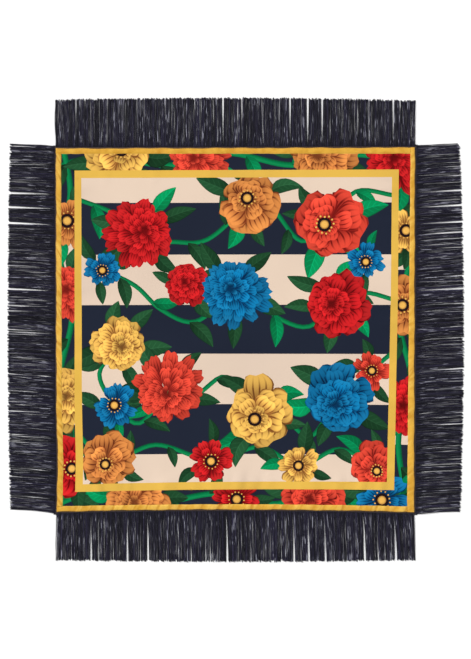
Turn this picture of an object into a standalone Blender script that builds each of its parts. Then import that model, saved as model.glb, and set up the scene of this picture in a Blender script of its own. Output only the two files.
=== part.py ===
"""A fringed silk square, laid flat with its right side up.

A printed square of silk twill, its turned and puckered hem on each side, and four lengths of
chainette fringe on a header tape that is sewn under the hem. Metres, +Z up, the surface it lies on
is Z = 0, and +Y is the top of the picture.
"""

import math

import bmesh
import bpy
from mathutils import Vector

# Outline of the square, hem edge to hem edge, before it settles out of true
HALF_WIDTH = 0.4479
HALF_LENGTH = 0.4548
# Reach of the longest strands on the left and right, and on the top and bottom
REACH_X = 0.5720
REACH_Y = 0.5820

# Cloth and trim
SEAM_GAP = 0.0003
SILK_WALL = 0.0012
HEM_WALL = 0.0020
TAPE_WALL = 0.0012
TUCK = 0.0065            # how far the header tape runs in under the hem
HEADER = 0.0080          # how far the tape shows outside the hem
CORNER_STEP = 0.0023     # how far the top and bottom tapes pass the hem's corner
SIDE_OVERRUN = 0.0072    # how far the left and right tapes pass the hem's corner
SETTLE = 0.025           # width over which the silk comes down from the hem to the surface

# Locks of fringe
LOCK_PITCH = 0.0150
LOCK_GAP = 0.0010
SLIT_GAP = 0.0036
LOCK_CLEAR = 0.0005      # how far a lock's tip stays above the surface
LOCK_ARCH = 0.0016       # how far its middle stays above it at most
LOCK_SWAY = 0.0010       # how far its middle is swung along the side
SWAY_LENGTH = 0.088      # length along the side over which that swing comes and goes
TIP_SPREAD = 0.0040      # unevenness of the tips

# Panel grid and pucker sampling
PANEL_CELLS = 27
STEPS_PER_PUCKER = 3

# How the corners lie off the true rectangle: which corner, shift in X and in Y
CORNER_SHIFT = {
    (-1, 1): (-0.0017, -0.0017),
    (1, 1): (0.0000, 0.0006),
    (-1, -1): (0.0000, -0.0001),
    (1, -1): (-0.0020, -0.0011),
}
BOTTOM_BOW = 0.0058      # how far the middle of the bottom edge is drawn up
LEFT_BOW = 0.0030        # how far the lower left edge is drawn in
LEFT_BOW_Y = -0.33
LEFT_BOW_LENGTH = 0.09

# A row for each side. Its own coordinate a runs along +X on the top side and turns with the side,
# by that many quarter turns anticlockwise. A pair gives the value at the low and the high end of a.
# hem is the hem's width, puckers and pucker their count and height, and slant how many grid steps
# a pucker leans along a on its way in from the hem's edge. through says whether the hem runs out to
# the corner or stops at its neighbour. slits are the places along a where the surface shows between
# the locks, swing is how far the tips are swung along a, and short is how much less the end locks
# reach than the middle ones.
SIDES = {
    "top": dict(
        turns=0, hem=(0.0140, 0.0158), puckers=18, pucker=0.0006, slant=0.4, through=(True, False),
        slits=(-0.030, 0.138, 0.181, 0.217, 0.392), swing=(0.000, 0.000), short=(0.005, 0.007),
    ),
    "left": dict(
        turns=1, hem=(0.0150, 0.0135), puckers=34, pucker=0.0010, slant=-0.9, through=(False, False),
        slits=(0.097, 0.262, 0.304, 0.339), swing=(0.0095, 0.0035), short=(0.006, 0.005),
    ),
    "bottom": dict(
        turns=2, hem=(0.0145, 0.0140), puckers=34, pucker=0.0011, slant=-0.9, through=(False, True),
        slits=(-0.396, -0.318, -0.221, -0.183, -0.142, 0.025, 0.222, 0.269, 0.362),
        swing=(0.000, 0.000), short=(0.004, 0.004),
    ),
    "right": dict(
        turns=3, hem=(0.0115, 0.0185), puckers=30, pucker=0.0009, slant=0.9, through=(True, True),
        slits=(-0.340, -0.305, -0.263, -0.096), swing=(-0.0040, -0.0060), short=(0.010, 0.008),
    ),
}

# Soft ridges in the silk: middle, direction in degrees, length, width and height
RIDGES = (
    dict(x=-0.360, y=-0.395, turn=96, length=0.090, width=0.060, height=0.0022),
    dict(x=-0.215, y=-0.390, turn=84, length=0.110, width=0.064, height=0.0018),
    dict(x=-0.020, y=-0.385, turn=93, length=0.120, width=0.070, height=0.0024),
    dict(x=0.150, y=-0.392, turn=80, length=0.100, width=0.060, height=0.0020),
    dict(x=0.330, y=-0.380, turn=101, length=0.120, width=0.064, height=0.0022),
    dict(x=-0.385, y=-0.120, turn=6, length=0.100, width=0.066, height=0.0020),
    dict(x=-0.380, y=0.140, turn=-8, length=0.090, width=0.060, height=0.0014),
    dict(x=0.385, y=-0.200, turn=172, length=0.110, width=0.066, height=0.0020),
    dict(x=0.380, y=0.170, turn=184, length=0.100, width=0.060, height=0.0016),
    dict(x=0.060, y=0.395, turn=88, length=0.090, width=0.066, height=0.0014),
    dict(x=-0.120, y=0.090, turn=28, length=0.260, width=0.080, height=0.0018),
)

MATERIALS = {
    "silk_print": dict(colour=(0.80, 0.64, 0.50, 1), roughness=0.48),
    "hem_silk": dict(colour=(0.80, 0.50, 0.08, 1), roughness=0.45),
    "fringe_yarn": dict(colour=(0.020, 0.020, 0.030, 1), roughness=0.55),
}


def make_material(name):
    look = MATERIALS[name]
    material = bpy.data.materials.new(name)
    material.use_nodes = True
    shader = material.node_tree.nodes["Principled BSDF"]
    shader.inputs["Base Color"].default_value = look["colour"]
    shader.inputs["Roughness"].default_value = look["roughness"]
    shader.inputs["Metallic"].default_value = 0.0
    return material


def lay(x, y):
    """Where a point of the cut square lies once the scarf has been put down."""
    u = max(-1.0, min(1.0, x / HALF_WIDTH))
    v = max(-1.0, min(1.0, y / HALF_LENGTH))
    shift_x = shift_y = 0.0
    for (side_x, side_y), (dx, dy) in CORNER_SHIFT.items():
        share = (1 + side_x * u) * (1 + side_y * v) / 4
        shift_x += share * dx
        shift_y += share * dy
    near_bottom = (1 - v) / 2
    near_left = (1 - u) / 2
    shift_y += BOTTOM_BOW * (1 - u * u) * near_bottom ** 2
    shift_x += LEFT_BOW * math.exp(-((y - LEFT_BOW_Y) / LEFT_BOW_LENGTH) ** 2) * near_left ** 2
    return x + shift_x, y + shift_y


def ridge_height(x, y):
    """How far the silk stands off the surface at a point inside the hem."""
    height = 0.0
    for ridge in RIDGES:
        turn = math.radians(ridge["turn"])
        dx, dy = x - ridge["x"], y - ridge["y"]
        along = (dx * math.cos(turn) + dy * math.sin(turn)) / ridge["length"]
        across = (dy * math.cos(turn) - dx * math.sin(turn)) / ridge["width"]
        if abs(along) < 1 and abs(across) < 1:
            form = math.cos(math.pi * along / 2) * math.cos(math.pi * across / 2)
            height += ridge["height"] * form ** 2
    return height


def jitter(number, seed):
    """An uneven value from 0 to 1 that is the same each run."""
    return math.sin(number * 12.9898 + seed * 78.233) * 43758.5453 % 1.0


class Side:
    """One side of the square: a runs along it, b outward from the hem's edge."""

    def __init__(self, name):
        row = SIDES[name]
        self.row = row
        angle = row["turns"] * math.pi / 2
        self.along = Vector((round(math.cos(angle)), round(math.sin(angle))))
        self.outward = Vector((-self.along.y, self.along.x))
        self.flat = row["turns"] % 2 == 0
        self.half = HALF_WIDTH if self.flat else HALF_LENGTH
        self.edge = HALF_LENGTH if self.flat else HALF_WIDTH
        self.reach = REACH_Y if self.flat else REACH_X

    def point(self, a, b):
        """Where (a, b) lies on the surface."""
        x, y = self.along * a + self.outward * (self.edge + b)
        return Vector(lay(x, y))

    def hem_width(self, a):
        start, end = self.row["hem"]
        return start + (end - start) * (a + self.half) / (2 * self.half)


def panel_corner(side_x, side_y):
    """The silk's corner, a seam gap inside the two hems that meet there."""
    across = Side("right" if side_x > 0 else "left")
    updown = Side("top" if side_y > 0 else "bottom")
    x, y = side_x * HALF_WIDTH, side_y * HALF_LENGTH
    for _ in range(3):
        point = Vector((x, y))
        x = side_x * (HALF_WIDTH - across.hem_width(point.dot(across.along)) - SEAM_GAP)
        y = side_y * (HALF_LENGTH - updown.hem_width(point.dot(updown.along)) - SEAM_GAP)
    return Vector((x, y))


def grid_sheet(name, columns, rows, place, wall, material, keep=None):
    """A walled sheet from a grid whose vertex (i, j) is put at place(i, j).

    keep(i, j) says which faces stay. The wall stands on the sheet's underside.
    """
    shape = bmesh.new()
    bmesh.ops.create_grid(shape, x_segments=columns, y_segments=rows, size=1)
    number = {}
    for vertex in shape.verts:
        i = round((vertex.co.x + 1) / 2 * columns)
        j = round((vertex.co.y + 1) / 2 * rows)
        number[vertex] = (i, j)
    if keep:
        lost = [
            face for face in shape.faces
            if not keep(min(number[v][0] for v in face.verts), min(number[v][1] for v in face.verts))
        ]
        bmesh.ops.delete(shape, geom=lost, context="FACES")
    for vertex in shape.verts:
        vertex.co = place(*number[vertex])
    mesh = bpy.data.meshes.new(name)
    shape.to_mesh(mesh)
    shape.free()
    piece = bpy.data.objects.new(name, mesh)
    mesh.materials.append(material)
    solid = piece.modifiers.new("wall", "SOLIDIFY")
    solid.thickness = wall
    solid.offset = 1.0
    return piece


def make_panel(material):
    """The silk inside the hems: down on the surface but for its ridges and its raised rim."""
    low_left, low_right = panel_corner(-1, -1), panel_corner(1, -1)
    high_left, high_right = panel_corner(-1, 1), panel_corner(1, 1)
    rim_height = TAPE_WALL + SEAM_GAP
    rim_share = SETTLE / (2 * HALF_WIDTH)

    def share(index):
        """Even cells, but for a narrow one at each end."""
        if index in (0, PANEL_CELLS):
            return index / PANEL_CELLS
        return rim_share + (index - 1) / (PANEL_CELLS - 2) * (1 - 2 * rim_share)

    def place(i, j):
        s, t = share(i), share(j)
        low = low_left.lerp(low_right, s)
        high = high_left.lerp(high_right, s)
        x, y = lay(*low.lerp(high, t))
        on_rim = i in (0, PANEL_CELLS) or j in (0, PANEL_CELLS)
        z = rim_height if on_rim else ridge_height(x, y)
        return x, y, z

    return grid_sheet("silk_panel", PANEL_CELLS, PANEL_CELLS, place, SILK_WALL, material)


def make_hem(name, material):
    """The turned edge of one side, drawn up in slanting puckers by its seam."""
    side = Side(name)
    row = side.row
    seat = TAPE_WALL + SEAM_GAP
    neighbour = {
        "top": ("left", "right"), "left": ("bottom", "top"),
        "bottom": ("right", "left"), "right": ("top", "bottom"),
    }[name]

    def end(which, b):
        """Where this hem stops: at the corner, or a seam gap short of the hem that runs past."""
        sign = -1 if which == 0 else 1
        if row["through"][which]:
            return sign * side.half
        other = Side(neighbour[which])
        corner = side.along * sign * side.half + side.outward * (side.edge + b)
        return sign * (side.half - other.hem_width(corner.dot(other.along)) - SEAM_GAP)

    columns = row["puckers"] * STEPS_PER_PUCKER
    drops = (1.0, 0.45, 0.0)     # the hem's inner edge, its middle and its outer edge

    def place(i, j):
        middle = (end(1, 0) + end(0, 0)) / 2
        b = -drops[j] * side.hem_width(middle)
        a0, a1 = end(0, b), end(1, b)
        lean = row["slant"] * (drops[j] - 0.5) * math.sin(math.pi * i / columns)
        a = a0 + (a1 - a0) * (i + lean) / columns
        b = -drops[j] * side.hem_width(a)
        x, y = side.point(a, b)
        strength = 0.35 + 0.65 * jitter(i // STEPS_PER_PUCKER, row["turns"])
        raised = row["pucker"] * strength if i % STEPS_PER_PUCKER == 1 else 0.0
        return x, y, seat + raised

    return grid_sheet(f"hem_{name}", columns, len(drops) - 1, place, HEM_WALL, material)


def lock_edges(side, start, end):
    """The two edges of each lock along the tape, the locks parted by gaps and slits."""
    stops = [start, *side.row["slits"], end]
    edges = []
    for k, (left, right) in enumerate(zip(stops, stops[1:])):
        count = max(1, round((right - left) / LOCK_PITCH))
        pitch = (right - left) / count
        for n in range(count):
            before = SLIT_GAP if n == 0 and k > 0 else LOCK_GAP
            after = SLIT_GAP if n == count - 1 and k < len(stops) - 2 else LOCK_GAP
            at_start = k == 0 and n == 0
            at_end = k == len(stops) - 2 and n == count - 1
            low = left + n * pitch + (0 if at_start else before / 2)
            high = left + (n + 1) * pitch - (0 if at_end else after / 2)
            edges.append((low, high))
    return edges


def make_fringe(name, material):
    """A header tape with its locks: one comb-shaped sheet, cut from a grid and given its wall."""
    side = Side(name)
    row = side.row
    overrun = CORNER_STEP if side.flat else SIDE_OVERRUN
    locks = lock_edges(side, -side.half - overrun, side.half + overrun)
    cuts = [edge for lock in locks for edge in lock]
    if side.flat:
        tape = (-TUCK, HEADER)
    else:
        tape = (-TUCK, CORNER_STEP + SEAM_GAP, HEADER)
    tape_rows = len(tape) - 1
    lengths = (0.5, 1.0)         # how far down a lock each of its rows lies
    columns = len(cuts) - 1
    tuck_end = side.half - TUCK - SEAM_GAP

    def shortfall(n):
        """How much less lock n reaches than the scarf does."""
        share = sum(locks[n]) / 2 / side.half
        bow = row["short"][share > 0] * share * share
        return bow + TIP_SPREAD * jitter(n, row["turns"] + 7)

    least_shortfall = min(shortfall(n) for n in range(len(locks)))

    def place(i, j):
        a = cuts[i]
        if j <= tape_rows:
            x, y = side.point(a, tape[j])
            return x, y, 0.0
        n = i // 2
        middle = sum(locks[n]) / 2
        root = side.point(a, HEADER)
        share = (middle + side.half) / (2 * side.half)
        swing = row["swing"][0] * (1 - share) + row["swing"][1] * share
        sway = LOCK_SWAY * math.sin(math.tau * middle / SWAY_LENGTH + row["turns"])
        out = side.reach - shortfall(n) + least_shortfall - root.dot(side.outward)
        drop = lengths[j - tape_rows - 1]
        at_tip = drop == 1.0
        point = root + side.outward * out * drop
        point += side.along * (swing * drop + (0 if at_tip else sway))
        z = LOCK_CLEAR if at_tip else LOCK_ARCH * (0.5 + 0.5 * jitter(n, 11))
        return point.x, point.y, z

    def keep(i, j):
        if j >= tape_rows:
            return i % 2 == 0
        if j == 0 and not side.flat:
            return -tuck_end <= cuts[i] and cuts[i + 1] <= tuck_end
        return True

    rows = tape_rows + len(lengths)
    return grid_sheet(f"fringe_{name}", columns, rows, place, TAPE_WALL, material, keep)


def main():
    for thing in list(bpy.data.objects):
        bpy.data.objects.remove(thing, do_unlink=True)
    collection = bpy.data.collections.new("fringed_scarf")
    bpy.context.scene.collection.children.link(collection)
    materials = {name: make_material(name) for name in MATERIALS}
    pieces = [make_panel(materials["silk_print"])]
    for name in SIDES:
        pieces.append(make_hem(name, materials["hem_silk"]))
        pieces.append(make_fringe(name, materials["fringe_yarn"]))
    for piece in pieces:
        collection.objects.link(piece)


main()
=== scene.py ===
"""Looks of a fringed silk square that lies flat with its right side up.

Metres, +Z up, and +Y is the top of the picture. The named sizes repeat the ones of the part's source,
apart from TIP_SPREAD and two of the swings, by which the fringe is more ragged and leans out further.
The silk is drawn in the flat, as it is cut, and lay() then puts each point where it lies.
"""

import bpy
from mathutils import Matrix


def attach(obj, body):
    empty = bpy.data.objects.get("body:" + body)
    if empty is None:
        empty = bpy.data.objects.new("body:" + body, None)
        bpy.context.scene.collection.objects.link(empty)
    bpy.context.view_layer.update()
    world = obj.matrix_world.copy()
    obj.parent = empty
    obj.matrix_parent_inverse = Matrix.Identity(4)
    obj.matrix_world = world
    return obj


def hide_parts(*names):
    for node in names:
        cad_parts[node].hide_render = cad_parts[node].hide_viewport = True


bl_info = {
    "name": "Fringed scarf",
    "version": (1, 0, 0),
    "blender": (4, 5, 0),
    "location": "3D View > Sidebar > Scarf",
    "description": "Printed silk, puckered hems and chainette fringe for the packed scarf",
    "category": "Object",
}

import math

import bpy
import numpy as np
from mathutils import Vector
from mathutils.geometry import delaunay_2d_cdt

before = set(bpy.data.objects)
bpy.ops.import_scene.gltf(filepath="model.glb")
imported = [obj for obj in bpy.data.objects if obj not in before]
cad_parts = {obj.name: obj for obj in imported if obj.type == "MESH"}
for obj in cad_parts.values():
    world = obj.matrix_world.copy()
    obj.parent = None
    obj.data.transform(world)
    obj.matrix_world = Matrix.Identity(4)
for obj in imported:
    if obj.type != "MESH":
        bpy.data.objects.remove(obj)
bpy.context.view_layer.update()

# Outline of the square and reach of its fringe, as in the part's source
HALF_WIDTH = 0.4479
HALF_LENGTH = 0.4548
REACH_X = 0.5720
REACH_Y = 0.5820

# Cloth and trim
SEAM_GAP = 0.0003
SILK_WALL = 0.0010
HEM_WALL = 0.0020
TAPE_WALL = 0.0012
TUCK = 0.0065
HEADER = 0.0080
CORNER_STEP = 0.0023
SIDE_OVERRUN = 0.0072
SETTLE = 0.025
SEAT = TAPE_WALL + SEAM_GAP
TIP_SPREAD = 0.0052
WANDER_SCALE = 14.0

# Seam
STITCH_PITCH = 0.0024
STITCH_LENGTH = 0.0026
THREAD = 0.00045
STITCH_LEAN = 0.85

CORNER_SHIFT = {
    (-1, 1): (-0.0017, -0.0017),
    (1, 1): (0.0000, 0.0006),
    (-1, -1): (0.0000, -0.0001),
    (1, -1): (-0.0020, -0.0011),
}
BOTTOM_BOW = 0.0058
LEFT_BOW = 0.0030
LEFT_BOW_Y = -0.33
LEFT_BOW_LENGTH = 0.09

SIDES = {
    "top": dict(
        turns=0, hem=(0.0140, 0.0158), puckers=18, pucker=0.0006, through=(True, False),
        slits=(-0.030, 0.138, 0.181, 0.217, 0.392), swing=(0.000, 0.000), short=(0.005, 0.007),
    ),
    "left": dict(
        turns=1, hem=(0.0150, 0.0135), puckers=34, pucker=0.0010, through=(False, False),
        slits=(0.097, 0.262, 0.304, 0.339), swing=(0.0095, 0.0035), short=(0.006, 0.005),
    ),
    "bottom": dict(
        turns=2, hem=(0.0145, 0.0140), puckers=34, pucker=0.0011, through=(False, True),
        slits=(-0.396, -0.318, -0.221, -0.183, -0.142, 0.025, 0.222, 0.269, 0.362),
        swing=(-0.0050, 0.000), short=(0.004, 0.004),
    ),
    "right": dict(
        turns=3, hem=(0.0115, 0.0185), puckers=30, pucker=0.0009, through=(True, True),
        slits=(-0.340, -0.305, -0.263, -0.096), swing=(-0.0085, -0.0060), short=(0.010, 0.008),
    ),
}
NEIGHBOURS = {
    "top": ("left", "right"), "left": ("bottom", "top"),
    "bottom": ("right", "left"), "right": ("top", "bottom"),
}

# How far the gathers of each hem lean, and how far they run on into the silk
GATHERS = {
    "top": dict(lean=0.010, reach=0.6, depth=0.30), "left": dict(lean=-0.022, reach=0.9, depth=0.90),
    "bottom": dict(lean=-0.007, reach=1.7, depth=0.80), "right": dict(lean=0.014, reach=1.0, depth=0.60),
}
# Stage
FLOOR_REACH = 60.0
FLOOR_GAP = 0.0001
CAMERA_PLACE = (-0.0006, 0.0006, 4.5765)

# Share of its width at which a hem's inner edge shows
HEM_SHOWS = 0.96

# Soft ridges in the silk: middle, direction in degrees, length, width and height
RIDGES = (
    (-0.360, -0.395, 96, 0.090, 0.060, 0.0022),
    (-0.215, -0.390, 84, 0.110, 0.064, 0.0018),
    (-0.020, -0.385, 93, 0.120, 0.070, 0.0024),
    (0.150, -0.392, 80, 0.100, 0.060, 0.0020),
    (0.330, -0.380, 101, 0.120, 0.064, 0.0022),
    (-0.385, -0.120, 6, 0.100, 0.066, 0.0020),
    (-0.380, 0.140, -8, 0.090, 0.060, 0.0014),
    (0.385, -0.200, 172, 0.110, 0.066, 0.0020),
    (0.380, 0.170, 184, 0.100, 0.060, 0.0016),
    (0.060, 0.395, 88, 0.090, 0.066, 0.0014),
    (-0.120, 0.090, 28, 0.260, 0.080, 0.0018),
)
# Narrow folds beside the hems, which are too fine for the part: how many, and the highest
FOLDS = {"bottom": (15, 0.0033), "left": (9, 0.0016), "right": (9, 0.0019), "top": (6, 0.0011)}

# Corners of the yellow line, outside and inside, and the stripes, in the cut square
LINE_OUTSIDE = (
    (-0.4025, -0.4062), (0.3977, -0.4008), (0.4062, 0.0940), (0.4077, 0.4002), (-0.4014, 0.3994),
)
LINE_INSIDE = (
    (-0.3835, -0.3872), (0.3792, -0.3810), (0.3885, 0.0940), (0.3907, 0.3812), (-0.3846, 0.3806),
)
FIELD_STRIPES = (0.318, 0.188, 0.062, -0.061, -0.188, -0.314)
BAND_CREAM = (
    (-0.46, -0.37, 0.092, 0.225), (-0.46, -0.37, -0.238, -0.100),
    (0.37, 0.46, 0.150, 0.284), (0.37, 0.46, -0.287, -0.258),
)


def linear(red, green, blue):
    """A colour as the lit cloth shows it, 0 to 255, as the linear one that its shader takes."""
    return tuple(0.84 * (((v / 255 + 0.055) / 1.055) ** 2.4 if v > 10 else v / 255 / 12.92)
                 for v in (red, green, blue))


# The print's inks, as red, green and blue
INKS = dict(
    cream=(235, 211, 189), navy=(32, 38, 54), yellow=(234, 187, 80), vermilion=(232, 70, 52),
    crimson=(210, 26, 32), blue=(0, 117, 172), ochre=(226, 138, 70), gold=(244, 186, 90),
    emerald=(0, 130, 74), leaf=(28, 74, 42), seed_ring=(40, 24, 26),
)


def colour_property(name, description, rgb):
    return bpy.props.FloatVectorProperty(
        name=name, description=description, default=linear(*rgb), subtype="COLOR", size=3, min=0, max=1)


def smooth(value):
    value = np.clip(value, 0.0, 1.0)
    return value * value * (3 - 2 * value)


def jitter(number, seed):
    """An uneven value from 0 to 1 that is the same each run."""
    return np.sin(np.asarray(number) * 12.9898 + seed * 78.233) * 43758.5453 % 1.0


def lay(x, y):
    """Where a point of the cut square lies once the scarf has been put down."""
    u = np.clip(x / HALF_WIDTH, -1, 1)
    v = np.clip(y / HALF_LENGTH, -1, 1)
    shift_x = shift_y = 0.0
    for (side_x, side_y), (dx, dy) in CORNER_SHIFT.items():
        share = (1 + side_x * u) * (1 + side_y * v) / 4
        shift_x = shift_x + share * dx
        shift_y = shift_y + share * dy
    shift_y = shift_y + BOTTOM_BOW * (1 - u * u) * ((1 - v) / 2) ** 2
    bow = np.exp(-(((y - LEFT_BOW_Y) / LEFT_BOW_LENGTH) ** 2))
    shift_x = shift_x + LEFT_BOW * bow * ((1 - u) / 2) ** 2
    return x + shift_x, y + shift_y


def narrow_folds():
    """Rows like those of RIDGES, which stand across the border beside each hem."""
    for name, (count, rise) in FOLDS.items():
        side = SIDE[name]
        for k in range(count):
            a = side.half * (0.84 * (2 * k + 1) / count - 0.84 + 0.09 * (jitter(k, 41) - 0.5))
            x, y = side.cut(a, -0.052 - 0.014 * jitter(k, 42))
            degrees = math.degrees(math.atan2(side.outward[1], side.outward[0]))
            degrees += 30 * (jitter(k, 43) - 0.5)
            yield (x, y, degrees, 0.040 + 0.030 * jitter(k, 44), 0.016 + 0.012 * jitter(k, 45),
                   rise * (0.35 + 0.65 * jitter(k, 46)))


def ridge_height(x, y):
    """How far the soft ridges lift the silk at a point where it lies."""
    height = np.zeros(np.shape(x))
    for ridge_x, ridge_y, degrees, length, width, rise in (*RIDGES, *narrow_folds()):
        turn = math.radians(degrees)
        dx, dy = x - ridge_x, y - ridge_y
        along = np.clip((dx * math.cos(turn) + dy * math.sin(turn)) / length, -1, 1)
        across = np.clip((dy * math.cos(turn) - dx * math.sin(turn)) / width, -1, 1)
        height += rise * (np.cos(math.pi * along / 2) * np.cos(math.pi * across / 2)) ** 2
    return height


class Side:
    """One side of the square: a runs along it, b outward from the hem's edge."""

    def __init__(self, name):
        self.name = name
        self.row = SIDES[name]
        turns = self.row["turns"]
        self.along = ((1, 0), (0, 1), (-1, 0), (0, -1))[turns]
        self.outward = (-self.along[1], self.along[0])
        self.flat = turns % 2 == 0
        self.half = HALF_WIDTH if self.flat else HALF_LENGTH
        self.edge = HALF_LENGTH if self.flat else HALF_WIDTH
        self.reach = REACH_Y if self.flat else REACH_X

    def cut(self, a, b):
        """Where (a, b) is in the cut square."""
        return (self.along[0] * a + self.outward[0] * (self.edge + b),
                self.along[1] * a + self.outward[1] * (self.edge + b))

    def point(self, a, b):
        """Where (a, b) lies on the surface."""
        return lay(*self.cut(a, b))

    def measure(self, x, y):
        """The a and b of a point of the cut square."""
        return (x * self.along[0] + y * self.along[1],
                x * self.outward[0] + y * self.outward[1] - self.edge)

    def hem_width(self, a):
        start, end = self.row["hem"]
        return start + (end - start) * (a + self.half) / (2 * self.half)

    def hem_end(self, which, b):
        """Where this hem stops: at the corner, or under the edge of the hem that runs past."""
        sign = -1 if which == 0 else 1
        if self.row["through"][which]:
            return sign * (self.half + np.zeros(np.shape(b)))
        other = Side(NEIGHBOURS[self.name][which])
        x, y = self.cut(sign * self.half, b)
        return sign * (self.half - other.hem_width(other.measure(x, y)[0]) + 0.0012)

    def gathers(self):
        """Rows of place, strength, width, lean and reach of the gathers that the seam draws."""
        form, turns = GATHERS[self.name], self.row["turns"]
        rows = []
        for share, weakest, strongest, breadth, run in (
            (0.9, 0.05, 1.10, 0.0040, 0.050), (2.1, 0.05, 0.50, 0.0020, 0.008),
        ):
            k = np.arange(int(self.row["puckers"] * share))
            place = -self.half + (k + jitter(k, 31 + turns)) * 2 * self.half / len(k)
            strength = weakest + strongest * jitter(k, turns + 5 * share) ** 1.8
            rows.append(np.stack([
                place, strength * form["depth"], breadth * (0.6 + 0.8 * jitter(k, 21)),
                form["lean"] * (0.5 + jitter(k, 22)), form["reach"] * (0.008 + run * jitter(k, 23) ** 2),
            ], 1))
        return np.concatenate(rows)

    def gather_form(self, a, b):
        """Height and crease depth, in shares of the deepest gather, at each point of the side."""
        a, b = np.asarray(a, float), np.asarray(b, float)
        width = self.hem_width(a)
        inward = -b / width
        height, crease = np.zeros(a.shape), np.zeros(a.shape)
        for place, strength, breadth, lean, reach in self.gathers():
            near = np.abs(a - place) < 0.045
            if not near.any():
                continue
            off = a[near] - place - lean * (inward[near] - 0.5)
            beyond = np.maximum(0, -b[near] - width[near])
            fade = np.where(inward[near] < 1, 0.55 + 0.45 * smooth(inward[near]), np.exp(-beyond / reach))
            breadth = breadth * (1 + beyond / 0.030)
            valley = np.exp(-((off / breadth) ** 2))
            swell = np.exp(-(((off - 2.3 * breadth) / (2.1 * breadth)) ** 2))
            swell += 0.6 * np.exp(-(((off + 2.5 * breadth) / (2.4 * breadth)) ** 2))
            height[near] += strength * fade * (0.75 * swell - 0.80 * valley)
            crease[near] += strength * fade * valley
        return height, np.clip(crease, 0, 1)


SIDE = {name: Side(name) for name in SIDES}


def silk_corner(side_x, side_y, inset):
    """A corner of the silk that shows inside the hems, moved in from their edges by inset."""
    across = SIDE["right" if side_x > 0 else "left"]
    updown = SIDE["top" if side_y > 0 else "bottom"]
    x, y = side_x * HALF_WIDTH, side_y * HALF_LENGTH
    for _ in range(3):
        a_across, a_updown = across.measure(x, y)[0], updown.measure(x, y)[0]
        x = side_x * (HALF_WIDTH - across.hem_width(a_across) - inset)
        y = side_y * (HALF_LENGTH - updown.hem_width(a_updown) - inset)
    return x, y


def hem_depth(x, y):
    """How far inside the hems a point of the cut square is."""
    depth = np.full(np.shape(x), 1.0)
    for side in SIDE.values():
        a, b = side.measure(x, y)
        depth = np.minimum(depth, -b - side.hem_width(a))
    return depth


def silk_form(x, y):
    """Height of the silk's top over the surface, and its crease depth, by which the material paints shade
    into the creases, in the cut square.
    """
    x, y = np.asarray(x, float), np.asarray(y, float)
    laid_x, laid_y = lay(x, y)
    gathered, crease = np.zeros(x.shape), np.zeros(x.shape)
    for side in SIDE.values():
        a, b = side.measure(x, y)
        width = side.hem_width(a)
        close = -b < width + 0.075
        if close.any():
            rise, dent = side.gather_form(a[close], b[close])
            gathered[close] += rise * side.row["pucker"] * 0.9
            crease[close] += dent * smooth(1 + (b[close] + width[close]) / 0.018)
    lift = smooth(1 - hem_depth(x, y) / SETTLE)
    ripple = np.sin(laid_x * 61 + 3.1 * np.sin(laid_y * 17)) + np.sin(laid_y * 53 + 2.3 * laid_x * 19)
    ripple = 0.00022 * ripple
    height = (ridge_height(laid_x, laid_y) + ripple + 0.00044) * (1 - lift) + SEAT * lift
    height = np.maximum(height + gathered, 0.0)
    return height + SILK_WALL, np.clip(crease, 0, 1)


class Value:
    """A number's socket, wrapped so that a material's maths reads as maths."""

    def __init__(self, finish, socket):
        self.finish, self.socket = finish, socket

    def math(self, operation, *others, clamp=False):
        node = self.finish.node("ShaderNodeMath", dict(operation=operation, use_clamp=clamp),
                                dict(enumerate((self, *others))))
        return Value(self.finish, node.outputs[0])

    def __add__(self, other):
        return self.math("ADD", other)

    def __sub__(self, other):
        return self.math("SUBTRACT", other)

    def __rsub__(self, other):
        return self.math("MULTIPLY_ADD", -1.0, other)

    def __mul__(self, other):
        return self.math("MULTIPLY", other)

    def __truediv__(self, other):
        return self.math("DIVIDE", other)

    def __pow__(self, other):
        return self.math("POWER", other)

    def __abs__(self):
        return self.math("ABSOLUTE")

    def __gt__(self, other):
        return self.math("GREATER_THAN", other)

    __radd__ = __add__
    __rmul__ = __mul__

    def sine(self):
        return self.math("SINE")

    def least(self, other):
        return self.math("MINIMUM", other)

    def most(self, other):
        return self.math("MAXIMUM", other)

    def near(self, other):
        return self.math("COMPARE", other, 0.4)

    def rise(self, low, high):
        """0 below low, 1 above high, and smooth between."""
        node = self.finish.node(
            "ShaderNodeMapRange", dict(interpolation_type="SMOOTHSTEP"),
            {0: self, 1: low, 2: high, 3: 0.0, 4: 1.0})
        return Value(self.finish, node.outputs[0])


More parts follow.
